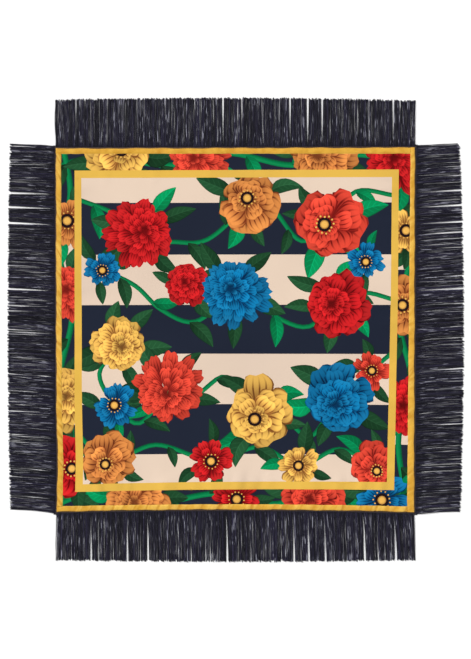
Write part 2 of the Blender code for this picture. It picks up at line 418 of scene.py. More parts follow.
class Finish:
    """A material in the making."""

    def __init__(self, name, **constants):
        self.material = bpy.data.materials.new(name)
        self.material.use_nodes = True
        self.tree = self.material.node_tree
        self.shader = self.tree.nodes["Principled BSDF"]
        for socket, value in constants.items():
            self.shader.inputs[socket.replace("_", " ")].default_value = value

    def node(self, kind, settings=None, inputs=None):
        node = self.tree.nodes.new(kind)
        for key, value in (settings or {}).items():
            setattr(node, key, value)
        for key, value in (inputs or {}).items():
            socket = node.inputs[key]
            if isinstance(value, Value):
                value = value.socket
            if isinstance(value, bpy.types.NodeSocket):
                self.tree.links.new(value, socket)
            else:
                socket.default_value = value
        return node

    def attribute(self, name, output="Fac"):
        node = self.node("ShaderNodeAttribute", dict(attribute_name=name))
        socket = node.outputs[output]
        return socket if output in ("Color", "Vector") else Value(self, socket)

    def parts(self, vector):
        node = self.node("ShaderNodeSeparateXYZ", None, {0: vector})
        return [Value(self, socket) for socket in node.outputs]

    def place(self):
        return self.node("ShaderNodeTexCoord").outputs["Object"]

    def noise(self, vector, scale, detail=2.0, roughness=0.5):
        node = self.node("ShaderNodeTexNoise", None,
                         {"Vector": vector, "Scale": scale, "Detail": detail, "Roughness": roughness})
        return Value(self, node.outputs[0])

    def mix(self, factor, first, second, blend="MIX"):
        """One colour over another by a factor."""
        def colour(value):
            return (*value, 1.0) if isinstance(value, tuple) and len(value) == 3 else value

        node = self.node("ShaderNodeMix", dict(data_type="RGBA", blend_type=blend),
                         {0: factor, 6: colour(first), 7: colour(second)})
        return node.outputs[2]

    def times(self, first, second):
        node = self.node("ShaderNodeVectorMath", dict(operation="MULTIPLY"), {0: first, 1: second})
        return node.outputs[0]

    def send(self, **links):
        for name, value in links.items():
            socket = value.socket if isinstance(value, Value) else value
            self.tree.links.new(socket, self.shader.inputs[name.replace("_", " ")])

    def bump(self, height, distance, strength=1.0):
        node = self.node("ShaderNodeBump", None,
                         {"Strength": strength, "Distance": distance, "Height": height})
        self.send(Normal=node.outputs[0])


PLAIN, PETAL, LEAF, VINE, DISC = range(5)
MILLIMETRE = 0.001

# Rings of a bloom, the outer one first: petals, start, end and half width in shares of the bloom's
# radius, where the petal is widest, how blunt it is, and its tone
BLOOMS = {
    "dahlia": (
        (13, 0.26, 1.00, 0.190, 1.35, 0.66, 0.80), (13, 0.24, 0.86, 0.175, 1.35, 0.66, 0.94),
        (11, 0.18, 0.70, 0.165, 1.35, 0.62, 1.04), (9, 0.10, 0.54, 0.150, 1.30, 0.62, 1.10),
        (7, 0.04, 0.38, 0.120, 1.20, 0.62, 1.00), (5, 0.00, 0.22, 0.085, 1.10, 0.62, 0.80),
    ),
    "poppy": (
        (5, 0.06, 1.00, 0.50, 1.60, 0.58, 0.82), (5, 0.05, 0.84, 0.40, 1.55, 0.58, 1.00),
        (4, 0.03, 0.60, 0.30, 1.50, 0.58, 1.10), (5, 0.02, 0.38, 0.18, 1.40, 0.60, 0.90),
    ),
    "rose": (
        (7, 0.24, 1.00, 0.36, 1.62, 0.56, 0.78), (7, 0.20, 0.85, 0.31, 1.62, 0.56, 0.94),
        (6, 0.14, 0.70, 0.27, 1.58, 0.56, 1.04), (6, 0.08, 0.54, 0.22, 1.50, 0.58, 1.10),
        (5, 0.02, 0.38, 0.17, 1.40, 0.58, 0.96), (4, 0.00, 0.22, 0.12, 1.30, 0.60, 0.78),
    ),
    "cosmos": (
        (8, 0.10, 1.00, 0.27, 1.62, 0.56, 0.90), (6, 0.08, 0.70, 0.22, 1.55, 0.58, 1.06),
    ),
}
# Form, middle and radius in millimetres, and ink of each bloom, and the stems' stops likewise
FIELD_BLOOMS = (
    ("cosmos", -330, 150, 47, "blue"),
    ("poppy", 35, 318, 80, "ochre"), ("dahlia", -235, 243, 88, "crimson"),
    ("cosmos", 325, 172, 48, "blue"), ("poppy", 235, 268, 86, "vermilion"),
    ("rose", -122, 116, 56, "crimson"),
    ("dahlia", -5, 96, 88, "blue"), ("rose", -290, -40, 72, "gold"),
    ("rose", 250, 64, 82, "crimson"),
    ("cosmos", 340, -105, 47, "vermilion"), ("cosmos", -300, -190, 56, "blue"),
    ("dahlia", -170, -152, 88, "vermilion"), ("rose", 255, -180, 82, "blue"),
    ("poppy", 55, -215, 84, "gold"), ("cosmos", -60, -330, 58, "crimson"),
    ("cosmos", 160, -342, 52, "gold"), ("poppy", -325, -328, 68, "ochre"),
    ("poppy", 350, -345, 62, "vermilion"),
)
BAND_BLOOMS = (
    ("poppy", -290, 440, 80, "gold"), ("dahlia", -95, 428, 82, "vermilion"),
    ("rose", 215, 436, 84, "ochre"), ("dahlia", 400, 420, 80, "crimson"),
    ("cosmos", -420, 270, 66, "ochre"), ("dahlia", -430, 95, 78, "vermilion"),
    ("rose", -428, -170, 80, "gold"), ("poppy", -424, -345, 76, "crimson"),
    ("cosmos", 424, 245, 62, "gold"), ("poppy", 430, 60, 78, "ochre"),
    ("dahlia", 428, -190, 80, "crimson"), ("rose", -250, -428, 84, "ochre"),
    ("cosmos", 0, -428, 62, "crimson"), ("rose", 190, -434, 84, "vermilion"),
    ("cosmos", 370, -425, 66, "blue"),
)
FIELD_VINES = (
    ((-400, 330), (-300, 290), (-240, 235)),
    ((-165, 220), (-70, 226), (35, 318)),
    ((100, 296), (165, 222), (235, 265), (300, 345), (400, 335)),
    ((-330, 150), (-250, 110), (-185, 50), (-100, 20), (-5, 96)),
    ((60, 66), (120, 22), (185, 8), (250, 60), (320, 92), (400, 74)),
    ((-290, -40), (-340, -110), (-300, -190), (-240, -235), (-170, -152)),
    ((-90, -160), (-20, -120), (55, -215)),
    ((130, -230), (190, -268), (255, -180), (315, -150), (340, -105), (400, -50)),
    ((-400, -255), (-320, -330), (-200, -290), (-60, -330), (60, -296), (160, -342), (260, -300),
     (350, -345)),
)
BAND_VINES = (
    ((-460, 405), (-330, 436), (-170, 412), (-20, 442), (140, 412), (300, 438), (460, 410)),
    ((-430, 460), (-412, 340), (-440, 200), (-408, 40), (-440, -130), (-410, -270), (-440, -460)),
    ((430, 460), (410, 340), (436, 190), (408, 30), (440, -130), (408, -280), (436, -460)),
    ((-460, -440), (-360, -412), (-215, -440), (-50, -414), (90, -440), (250, -412), (460, -440)),
)


class Print:
    """The printed pattern, as flat outlines of which a later one covers the earlier ones."""

    def __init__(self, seed, inks):
        self.draw = np.random.default_rng(seed)
        self.inks = inks
        self.outlines, self.owner, self.motifs = [], [], []

    def add(self, zone, kind, ink, outlines, locate, belly=1.0, blunt=1.0):
        self.motifs.append(dict(zone=zone, kind=kind, ink=ink, locate=locate, belly=belly, blunt=blunt,
                                chance=self.draw.random()))
        for outline in outlines:
            self.outlines.append(np.asarray(outline, float))
            self.owner.append(len(self.motifs) - 1)

    def area(self, zone, ink, outline):
        self.add(zone, PLAIN, self.inks[ink], [outline], lambda points: points * 10)

    def tip(self, zone, kind, ink, root, turn, length, half, belly, blunt, bend=0.0, steps=7,
            wave=0.0):
        """A petal or leaf from its root: length long, half wide each way, bent, with a waved edge."""
        share = 1 - (1 - np.linspace(0, 1, steps + 1)) ** 1.4
        width = np.sin(math.pi * np.clip(share, 1e-6, 1 - 1e-6) ** belly) ** blunt
        width[0], width[-1] = 0, 0
        share = np.concatenate([share, share[-2:0:-1]])
        side = np.concatenate([width, -width[-2:0:-1]])
        middle = bend * 4 * share * (1 - share)
        root, (cosine, sine) = np.asarray(root), (math.cos(turn), math.sin(turn))
        ruffle = wave * (self.draw.random(len(share)) - 0.5) * smooth(share * 2 - 0.4)
        notch = 0.9 * wave * np.exp(-((side / 0.3) ** 2)) * (share > 0.7)
        forward = share * length * (1 + 0.6 * ruffle - notch)
        sideways = -side * half * (1 + ruffle) + middle
        outline = root + np.stack([
            forward * cosine - sideways * sine, forward * sine + sideways * cosine], 1)

        def locate(points):
            off = points - root
            along = (off[:, 0] * cosine + off[:, 1] * sine) / length
            across = off[:, 1] * cosine - off[:, 0] * sine - bend * 4 * along * (1 - along)
            return np.stack([across / half, along], 1)

        self.add(zone, kind, ink, [outline], locate, belly, blunt)

    def disc(self, zone, ink, middle, radius, points=12):
        turn = np.arange(points) * math.tau / points
        middle = np.asarray(middle)
        outline = middle + radius * np.stack([np.cos(turn), np.sin(turn)], 1)
        self.add(zone, DISC, ink, [outline], lambda place: (place - middle) / radius)

    def vine(self, zone, ink, stops, half):
        """A stem of even width along a smooth line."""
        stops = np.asarray(stops, float)
        ends = np.concatenate([[2 * stops[0] - stops[1]], stops, [2 * stops[-1] - stops[-2]]])
        line = []
        for before, start, end, after in zip(ends, ends[1:], ends[2:], ends[3:]):
            steps = max(4, round(np.hypot(*(end - start)) / 0.016))
            t = np.arange(steps)[:, None] / steps
            line.append(0.5 * (
                2 * start + (end - before) * t + (2 * before - 5 * start + 4 * end - after) * t ** 2
                + (3 * start - before - 3 * end + after) * t ** 3))
        line = np.concatenate([*line, stops[-1:]])
        way = np.gradient(line, axis=0)
        way /= np.hypot(*way.T)[:, None]
        side = np.stack([-way[:, 1], way[:, 0]], 1) * half
        right, left = line - side, line + side
        quads = [np.array([right[k], right[k + 1], left[k + 1], left[k]]) for k in range(len(line) - 1)]
        run = np.concatenate([[0], np.cumsum(np.hypot(*np.diff(line, axis=0).T))])

        def locate(points):
            start, step = line[:-1], np.diff(line, axis=0)
            off = points[:, None] - start
            share = np.clip((off * step).sum(2) / (step ** 2).sum(1), 0, 1)
            gap = off - share[..., None] * step
            best = (gap ** 2).sum(2).argmin(1)
            rows = np.arange(len(points))
            across = (step[best, 0] * gap[rows, best, 1] - step[best, 1] * gap[rows, best, 0])
            across /= np.hypot(*step[best].T) * half
            return np.stack([across, (run[best] + share[rows, best] * np.diff(run)[best]) * 20], 1)

        self.add(zone, VINE, ink, quads, locate)
        return line

    def leaves(self, zone, middle, radius, count, length, start=0.62):
        """Leaves that stand out from under a bloom."""
        first = self.draw.random() * math.tau
        for k in range(count):
            turn = first + (k + 0.7 * self.draw.random()) * math.tau / count
            size = length * (0.8 + 0.4 * self.draw.random())
            root = np.asarray(middle) + radius * start * np.array([math.cos(turn), math.sin(turn)])
            tone = 0.75 + 0.6 * self.draw.random()
            ink = "emerald" if self.draw.random() < 0.28 else "leaf"
            colour = tuple(v * tone for v in self.inks[ink])
            self.tip(zone, LEAF, colour, root, turn + self.draw.normal() * 0.3, size,
                     size * (0.19 + 0.07 * self.draw.random()), 0.80, 0.85,
                     bend=size * 0.10 * self.draw.normal(), steps=9)

    def bloom(self, zone, form, middle, radius, ink):
        """A bloom of several rings, a little turned to one side and uneven as a grown one is."""
        first, facing = self.draw.random(2) * math.tau
        colour = np.array(self.inks[ink])
        lean = 0.05 if form == "cosmos" else 0.15
        leaning = lean * radius * np.array([math.cos(facing), math.sin(facing)])
        rings = BLOOMS[form]
        for ring, (count, start, end, half, belly, blunt, tone) in enumerate(rings):
            heart = middle + leaning * ring / len(rings)
            for k in self.draw.permutation(count):
                turn = first + (k + 0.5 * ring + 0.34 * (self.draw.random() - 0.5)) * math.tau / count
                away = 1 - 0.16 * math.cos(turn - facing) * (form != "cosmos")
                reach = radius * (end - start) * (0.86 + 0.24 * self.draw.random()) * away
                root = heart + radius * start * np.array([math.cos(turn), math.sin(turn)])
                shade = tone * (0.82 + 0.34 * self.draw.random())
                wide = radius * half * (0.84 + 0.34 * self.draw.random())
                large = wide > 0.009
                self.tip(zone, PETAL, tuple(colour * shade), root, turn + 0.13 * self.draw.normal(),
                         reach, wide, belly, blunt, bend=0.05 * reach * self.draw.normal(),
                         steps=9 if large else 6, wave=0.15 if large else 0.05)
        middle = middle + leaning
        if form in ("poppy", "cosmos"):
            share = 0.17 if form == "poppy" else 0.22
            self.disc(zone, self.inks["seed_ring"], middle, radius * share * 1.15, 14)
            self.disc(zone, self.inks["gold"], middle, radius * share * 0.72, 12)
            for k in range(13):
                turn = first + k * math.tau / 13
                away = radius * share * (1.22 + 0.28 * self.draw.random())
                seed = middle + away * np.array([math.cos(turn), math.sin(turn)])
                self.disc(zone, self.inks["gold"], seed, radius * 0.032, 6)


def draw_print(settings):
    """The stripes, stems, leaves and blooms of the silk, each in the zone that it is kept to."""
    pattern = Print(settings.seed, {ink: tuple(getattr(settings, ink)) for ink in INKS})
    stops = (0.46, *FIELD_STRIPES, -0.46)
    for k, (high, low) in enumerate(zip(stops, stops[1:])):
        pattern.area("field", "navy" if k % 2 else "cream",
                     [(-0.46, low), (0.46, low), (0.46, high), (-0.46, high)])
    pattern.area("band", "navy", [(-0.47, -0.47), (0.47, -0.47), (0.47, 0.47), (-0.47, 0.47)])
    for left, right, low, high in BAND_CREAM:
        pattern.area("band", "cream", [(left, low), (right, low), (right, high), (left, high)])

    for zone, vines, blooms, half, leaf in (
        ("field", FIELD_VINES, FIELD_BLOOMS, 0.0056, 0.090),
        ("band", BAND_VINES, BAND_BLOOMS, 0.0072, 0.120),
    ):
        for stops in vines:
            line = pattern.vine(zone, pattern.inks["emerald"], np.array(stops) * MILLIMETRE, half)
            for k in range(3, len(line) - 2, 7):
                way = line[k + 1] - line[k - 1]
                side = 1 if (k // 7) % 2 else -1
                turn = math.atan2(way[1], way[0]) + side * (0.75 + 0.3 * pattern.draw.random())
                size = leaf * (0.62 + 0.4 * pattern.draw.random())
                ink = "leaf" if pattern.draw.random() < 0.7 else "emerald"
                pattern.tip(zone, LEAF, pattern.inks[ink], line[k], turn, size, size * 0.21, 0.80, 0.85,
                            bend=-side * size * 0.08, steps=9)
        for form, x, y, radius, ink in blooms:
            middle, reach = (x * MILLIMETRE, y * MILLIMETRE), radius * MILLIMETRE
            count = 5 if radius > 60 else 3
            pattern.leaves(zone, middle, reach, count, reach * 0.52 + 0.040)
        for form, x, y, radius, ink in blooms:
            middle = np.array([x * MILLIMETRE, y * MILLIMETRE])
            pattern.bloom(zone, form, middle, radius * MILLIMETRE * 1.06, ink)

    for side in SIDE.values():
        a = np.linspace(-side.half, side.half, 150)
        wave = 0.0001 + 0.0003 * np.sin(a * 73 + side.row["turns"]) + 0.0002 * np.sin(a * 191 + 1.7)
        inner = np.stack(side.cut(a, -side.hem_width(a) * HEM_SHOWS - wave), 1)
        outer = np.stack(side.cut(a, 0 * a), 1)
        pattern.area("band", "yellow", np.concatenate([outer, inner[::-1]])[::-1])
    return pattern


def grid_points():
    """Points of the silk between the outlines: close together near the hems, wider inside."""
    wide = np.linspace(-0.42, 0.42, 84)
    points = [(x, y) for x in wide for y in wide]
    for side in SIDE.values():
        inset, step = 0.0012, 0.0024
        while inset < 0.075:
            a = np.arange(-side.half + 0.016 + inset, side.half - 0.016 - inset, step)
            points.extend(zip(*side.cut(a, -side.hem_width(a) * HEM_SHOWS - inset)))
            inset += 0.8 * step
            step = min(step * 1.16, 0.0058)
    return points


def signed_area(outline):
    x, y = np.asarray(outline).T
    return 0.5 * (x * np.roll(y, -1) - np.roll(x, -1) * y).sum()


def make_silk(pattern, material):
    """The printed silk as a closed sheet: its top parted along the print, its underside plain."""
    inset = -0.0012
    rim = [silk_corner(x, y, inset) for x, y in ((-1, -1), (1, -1), (1, 1), (-1, 1))]
    outlines = [rim, LINE_OUTSIDE, LINE_INSIDE, *pattern.outlines]
    places, faces = [], []
    for outline in outlines:
        outline = [tuple(p) for p in outline]
        if signed_area(outline) < 0:
            outline.reverse()
        faces.append(range(len(places), len(places) + len(outline)))
        places.extend(outline)
    places.extend(grid_points())
    found = delaunay_2d_cdt([Vector(p) for p in places], [], [list(f) for f in faces], 1, 1e-6, True)
    points = np.array([tuple(p) for p in found[0]])
    triangles, owners = [], []
    plain = len(pattern.motifs)
    for triangle, inside in zip(found[2], found[5]):
        if 0 not in inside:
            continue
        zone = "field" if 2 in inside else "line" if 1 in inside else "band"
        owner = plain
        if zone != "line":
            for face in sorted(inside, reverse=True):
                if face > 2 and pattern.motifs[pattern.owner[face - 3]]["zone"] == zone:
                    owner = pattern.owner[face - 3]
                    break
        triangles.append(triangle)
        owners.append(owner)
    triangles, owners = np.array(triangles), np.array(owners)
    used, triangles = np.unique(triangles, return_inverse=True)
    triangles = triangles.reshape(-1, 3)
    points = points[used]
    a, b, c = (points[triangles[:, k]] for k in range(3))
    turned = (b - a)[:, 0] * (c - a)[:, 1] - (b - a)[:, 1] * (c - a)[:, 0] < 0
    triangles[turned] = triangles[turned][:, ::-1]

    count = len(triangles) * 3
    corners = points[triangles.reshape(-1)]
    owner_of_corner = np.repeat(owners, 3)
    form, trait = np.zeros((count, 3)), np.zeros((count, 3))
    ink = np.ones((count, 4))
    ink[:, :3] = pattern.inks["yellow"]
    order = np.argsort(owner_of_corner, kind="stable")
    starts = np.searchsorted(owner_of_corner[order], np.arange(plain + 1))
    for number, motif in enumerate(pattern.motifs):
        rows = order[starts[number]:starts[number + 1]]
        if len(rows):
            form[rows, :2] = motif["locate"](corners[rows])
            form[rows, 2] = motif["chance"]
            trait[rows] = motif["kind"], motif["belly"], motif["blunt"]
            ink[rows, :3] = motif["ink"]

    # The underside, from the same rim
    directed = np.concatenate([triangles[:, [0, 1]], triangles[:, [1, 2]], triangles[:, [2, 0]]])
    pairs = np.sort(directed, axis=1)
    _, first, times = np.unique(pairs, axis=0, return_index=True, return_counts=True)
    onward = {int(i): int(j) for i, j in directed[first[times == 1]]}
    loop = [min(onward)]
    while onward[loop[-1]] != loop[0]:
        loop.append(onward[loop[-1]])
    if len(loop) != len(onward):
        raise ValueError("the silk's rim is not one loop")
    loop = np.array(loop)
    inner = [(x, y) for x in np.linspace(-0.41, 0.41, 34) for y in np.linspace(-0.41, 0.41, 34)]
    for side in SIDE.values():
        for inset in (0.006, 0.012, 0.019):
            a = np.linspace(-side.half + 0.04, side.half - 0.04, 60)
            inner.extend(zip(*side.cut(a, -side.hem_width(a) - inset)))
    found = delaunay_2d_cdt([Vector(p) for p in points[loop]] + [Vector(p) for p in inner], [],
                            [list(range(len(loop)))], 1, 1e-7, True)
    low = np.array([tuple(p) for p in found[0]])
    low_origin = {i: ids[0] for i, ids in enumerate(found[3]) if ids and ids[0] < len(loop)}
    total = len(points)
    rim_low = {origin: total + i for i, origin in low_origin.items()}
    low_triangles = []
    for triangle, inside in zip(found[2], found[5]):
        if not inside:
            continue
        (ax, ay), (bx, by), (cx, cy) = (low[i] for i in triangle)
        back = (bx - ax) * (cy - ay) - (by - ay) * (cx - ax) > 0
        row = [total + i for i in triangle]
        low_triangles.append(row[::-1] if back else row)
    rim_quads = []
    for k in range(len(loop)):
        after = (k + 1) % len(loop)
        i, j = int(loop[k]), int(loop[after])
        rim_quads.append((j, i, rim_low[k], rim_low[after]))

    top_height, crease = silk_form(*points.T)
    low_height = 0.9 * SEAT * smooth(1 - hem_depth(*low.T) / 0.012)
    x, y = lay(*points.T)
    low_x, low_y = lay(*low.T)
    vertices = np.concatenate([np.stack([x, y, top_height], 1),
                               np.stack([low_x, low_y, low_height], 1)])
    mesh = bpy.data.meshes.new("silk")
    mesh.from_pydata(vertices.tolist(), [], triangles.tolist() + low_triangles + rim_quads)
    corner_total = len(mesh.loops)

    def corner_attribute(name, kind, key, rows, width):
        values = np.zeros((corner_total, width))
        values[:count] = rows
        mesh.attributes.new(name, kind, "CORNER").data.foreach_set(key, values.astype(np.float32).ravel())

    full_ink = np.ones((corner_total, 4))
    full_ink[:count] = ink
    full_ink[count:, :3] = np.array(pattern.inks["yellow"]) * 0.75
    ink_layer = mesh.attributes.new("ink", "FLOAT_COLOR", "CORNER")
    ink_layer.data.foreach_set("color", full_ink.astype(np.float32).ravel())
    corner_attribute("form", "FLOAT_VECTOR", "vector", form, 3)
    corner_attribute("trait", "FLOAT_VECTOR", "vector", trait, 3)
    # The crease depth goes to the material as the mask of painted shade in the creases.
    crease = np.concatenate([crease, np.zeros(len(low))])
    mesh.attributes.new("crease", "FLOAT", "POINT").data.foreach_set("value", crease.astype(np.float32))

    # Smooth normals of the top, straight from its form
    step = 0.0003
    flat_x, flat_y = points.T
    slope_x = silk_form(flat_x + step, flat_y)[0] - silk_form(flat_x - step, flat_y)[0]
    slope_y = silk_form(flat_x, flat_y + step)[0] - silk_form(flat_x, flat_y - step)[0]
    normal = np.stack([-slope_x / (2 * step), -slope_y / (2 * step), np.ones(len(points))], 1)
    normal /= np.linalg.norm(normal, axis=1)[:, None]
    corner_vertex = np.zeros(corner_total, int)
    mesh.loops.foreach_get("vertex_index", corner_vertex)
    normals = np.zeros((corner_total, 3))
    for polygon in list(mesh.polygons)[len(triangles):]:
        for k in polygon.loop_indices:
            normals[k] = polygon.normal
    normals[:count] = normal[corner_vertex[:count]]
    mesh.shade_smooth()
    mesh.normals_split_custom_set(normals.tolist())

    flat_x = (vertices[corner_vertex, 0] + 0.46) / 0.92
    flat_y = (vertices[corner_vertex, 1] + 0.46) / 0.92
    unwrapped = np.stack([flat_x, 0.03 + 0.97 * flat_y], 1)
    unwrapped[count:, 1] = 0.001 + 0.025 * flat_y[count:]
    mesh.uv_layers.new(name="OFBake").data.foreach_set("uv", unwrapped.astype(np.float32).ravel())
    mesh.materials.append(material)
    piece = bpy.data.objects.new("silk", mesh)
    bpy.context.scene.collection.objects.link(piece)
    return piece


def silk_material(settings):
    finish = Finish("printed silk", Specular_IOR_Level=0.06)
    finish.shader.inputs["IOR"].default_value = 1.46
    ink = finish.attribute("ink", "Color")
    across, along, chance = finish.parts(finish.attribute("form", "Vector"))
    kind, belly, blunt = finish.parts(finish.attribute("trait", "Vector"))
    crease = finish.attribute("crease")
    place = finish.place()

    deep = finish.mix(0.55, ink, finish.times(ink, ink))
    deep = finish.times(deep, (0.30, 0.24, 0.32))
    light = finish.mix(0.012, finish.times(ink, (1.24, 1.34, 1.22)), tuple(settings.cream))

    share = along.most(0.004).least(0.996)
    width = (((share ** belly) * math.pi).sine() ** blunt).most(0.04)
    side = across / width
    rim = abs(side)
    lines = (side * 15 + chance * 40 + along * 3).sine().rise(0.45, 0.92)
    petal_dark = (1 - along.rise(0.22, 0.84)) * 0.84 + lines * (1 - along.rise(0.50, 0.97)) * 0.75
    petal_dark = petal_dark + rim.rise(0.86, 0.98) * 0.70 + along.rise(0.93, 0.99) * 0.4
    petal_light = along.rise(0.45, 0.80) * (1 - rim.rise(0.70, 0.95)) * (0.35 + chance * 0.65)

    vein = (((along * 7 - rim * 1.3) * math.tau).sine()).rise(0.72, 0.96) * (1 - rim.rise(0.5, 0.95))
    midrib = 1 - abs(across).rise(0.02, 0.07)
    leaf_light = vein * 0.55 + midrib * 0.9 + (across > 0) * 0.25
    leaf_dark = (1 - along.rise(0.0, 0.5)) * 0.45 + rim.rise(0.84, 1.0) * 0.5 + (1 - (across > 0)) * 0.25

    ticks = ((along * 38 + across * 1.5).sine() * 0.5 + 0.5) * across.rise(-0.1, 0.7)
    vine_dark = across.rise(0.10, 1.0) * 0.60 + ticks * 0.08 + (across * -1).rise(0.80, 1.0) * 0.3
    vine_light = (1 - abs(across + 0.35).rise(0.05, 0.40)) * 0.55

    spot = (across * across + along * along) ** 0.5
    disc_dark = spot.rise(0.55, 1.0) * 0.7
    stipple = finish.noise(place, 900, 1.0).rise(0.5, 0.62)
    disc_light = stipple * (1 - spot.rise(0.5, 0.9)) * 0.5

    is_petal, is_leaf, is_vine, is_disc = (kind.near(k) for k in (PETAL, LEAF, VINE, DISC))
    dark = is_petal * petal_dark + is_leaf * leaf_dark + is_vine * vine_dark + is_disc * disc_dark
    bright = is_petal * petal_light + is_leaf * leaf_light + is_vine * vine_light + is_disc * disc_light
    light = finish.mix(is_leaf, light, finish.times(ink, (2.2, 1.7, 1.9)))
    colour = finish.mix(bright.least(1.0), ink, light)
    colour = finish.mix(dark.least(1.0), colour, deep)

    cloud = finish.noise(place, 9.0, 3.0)
    shadow = finish.noise(place, 4.5, 1.0).rise(0.38, 0.66)
    colour = finish.mix(cloud * 0.16 + shadow * 0.30, colour, finish.times(colour, (0.76, 0.77, 0.80)))
    # Painted shade: the silk is darker in the creases of the gathers.
    colour = finish.mix(crease * 0.40, colour, finish.times(colour, (0.45, 0.42, 0.40)))
    x, y, _ = finish.parts(place)
    twill = ((x + y) * (math.tau / settings.twill_pitch)).sine() * 0.5 + 0.5
    drawn_out = finish.node("ShaderNodeMapping", None, {"Vector": place, "Scale": (30, 700, 30)})
    slub = finish.noise(drawn_out.outputs[0], 1.0)
    finish.send(Base_Color=colour, Roughness=0.58 + cloud * 0.10 + slub * 0.06)
    finish.bump(twill * 0.6 + slub * 0.8, settings.weave_depth, 0.6)
    return finish.material


def loft(name, rings, material, rows=4, layers=None):
    """A closed strip through rings of points, with closed ends, and its own unwrapped map."""
    count, around = rings.shape[:2]
    vertices = rings.reshape(-1, 3)
    i, j = np.meshgrid(np.arange(count - 1), np.arange(around), indexing="ij")
    after = (j + 1) % around
    ring, onward = i * around, (i + 1) * around
    quads = np.stack([ring + j, onward + j, onward + after, ring + after], -1)
    quads = quads.reshape(-1, 4)
    ends = [list(range(around)), [(count - 1) * around + k for k in range(around)][::-1]]
    mesh = bpy.data.meshes.new(name)
    mesh.from_pydata(vertices.tolist(), [], quads.tolist() + ends)
    share = np.stack([i, i + 1, i + 1, i], -1).reshape(-1, 4) / (count - 1)
    row = np.minimum((i.reshape(-1) / (count - 1) * rows).astype(int), rows - 1)
    turn = np.stack([j, j, j + 1, j + 1], -1).reshape(-1, 4) / around
    u = np.clip(share * rows - row[:, None], 0, 1) * 0.98 + 0.01
    v = (row[:, None] + 0.02 + 0.94 * turn) / rows
    unwrapped = np.zeros((len(mesh.loops), 2))
    unwrapped[:u.size] = np.stack([u.ravel(), v.ravel()], 1)
    unwrapped[u.size:] = 0.001
    mesh.uv_layers.new(name="OFBake").data.foreach_set("uv", unwrapped.astype(np.float32).ravel())
    for key, values in (layers or {}).items():
        data = mesh.attributes.new(key, "FLOAT", "POINT").data
        data.foreach_set("value", np.asarray(values, np.float32).ravel())
    mesh.materials.append(material)
    mesh.shade_smooth()
    piece = bpy.data.objects.new(name, mesh)
    bpy.context.scene.collection.objects.link(piece)
    return piece


def outward(piece):
    """Turns the piece's faces so that they point outwards."""
    mesh = piece.data
    total = 0.0
    for polygon in mesh.polygons:
        total += polygon.center.dot(polygon.normal) * polygon.area
    if total < 0:
        mesh.flip_normals()
    return piece


def make_hem(name, settings, material):
    """The turned edge of one side, rounded at its fold and drawn up in slanting gathers."""
    side = SIDE[name]
    columns = 700
    # Share of the way in from the fold, height share, and how far the gathers move it
    section = np.array([
        (1.00, 0.02, 0.3), (0.99, 0.34, 0.8), (0.95, 0.62, 1.0), (0.86, 0.82, 1.0), (0.68, 0.96, 1.0),
        (0.48, 1.00, 1.0), (0.27, 0.98, 0.9), (0.11, 0.88, 0.8), (0.02, 0.66, 0.6), (0.00, 0.40, 0.4),
        (0.03, 0.14, 0.1), (0.12, 0.00, 0.0), (0.55, 0.00, 0.0), (0.94, 0.00, 0.0),
    ])
    section[:, 0] *= HEM_SHOWS
    s = np.linspace(0, 1, columns + 1)[:, None]
    inward = section[None, :, 0]
    low, high = side.hem_end(0, 0), side.hem_end(1, 0)
    width = side.hem_width(low + (high - low) * s)
    b = -inward * width
    start, stop = side.hem_end(0, b), side.hem_end(1, b)
    a = start + (stop - start) * s
    # crease shapes the edges here and, in the material, marks painted shade in the creases.
    height, crease = side.gather_form(a, b)
    wander = 0.0005 * np.sin(a * 95 + side.row["turns"]) + 0.0004 * np.sin(a * 31 + 2)
    b = b + np.where(inward < 0.3, wander - 0.0010 * crease, 0.0005 * crease * (inward > 0.9))
    x, y = side.point(a, b)
    gathered = height * side.row["pucker"] * settings.gather_height * section[None, :, 2]
    z = SEAT + HEM_WALL * section[None, :, 1] + gathered
    z = np.maximum(z, SEAT + 0.02 * HEM_WALL * (section[None, :, 1] > 0))
    rings = np.stack([x, y, z], -1)
    # swell carries the gathers' height to the material, which paints a highlight on their tops.
    layers = {"crease": crease, "swell": np.clip(height, 0, 1),
              "inward": np.broadcast_to(inward, crease.shape)}
    return outward(loft(f"turned_hem_{name}", rings, material, 4, layers))


def hem_material(settings):
    finish = Finish("yellow hem silk", Specular_IOR_Level=0.4, Sheen_Weight=0.03, Sheen_Roughness=0.4)
    finish.shader.inputs["IOR"].default_value = 1.46
    crease = finish.attribute("crease")
    swell = finish.attribute("swell")
    inward = finish.attribute("inward")
    place = finish.place()
    cloud = finish.noise(place, 40.0, 3.0)
    fine = finish.noise(place, 420.0, 2.0)
    colour = finish.mix(cloud.rise(0.30, 0.70), tuple(settings.deep), tuple(settings.light))
    # Painted highlight on the tops of the gathers.
    colour = finish.mix(swell.rise(0.04, 0.50) * 0.36, colour, tuple(settings.swell))
    # Painted shade in the creases of the gathers.
    colour = finish.mix(crease.rise(0.03, 0.80) * 0.55, colour, tuple(settings.crease))
    # Painted shade where the hem rounds down at its fold to the tape.
    colour = finish.mix((1 - inward.rise(0.0, 0.10)) * 0.35, colour, linear(140, 96, 36))
    colour = finish.mix(fine.rise(0.55, 0.75) * 0.12, colour, linear(250, 215, 130))
    finish.send(Base_Color=colour, Roughness=0.48 + cloud * 0.12)
    x, y, _ = finish.parts(place)
    twill = ((x + y) * (math.tau / 0.0011)).sine()
    finish.bump(twill * 0.4 + fine, 0.00006, 0.6)
    return finish.material


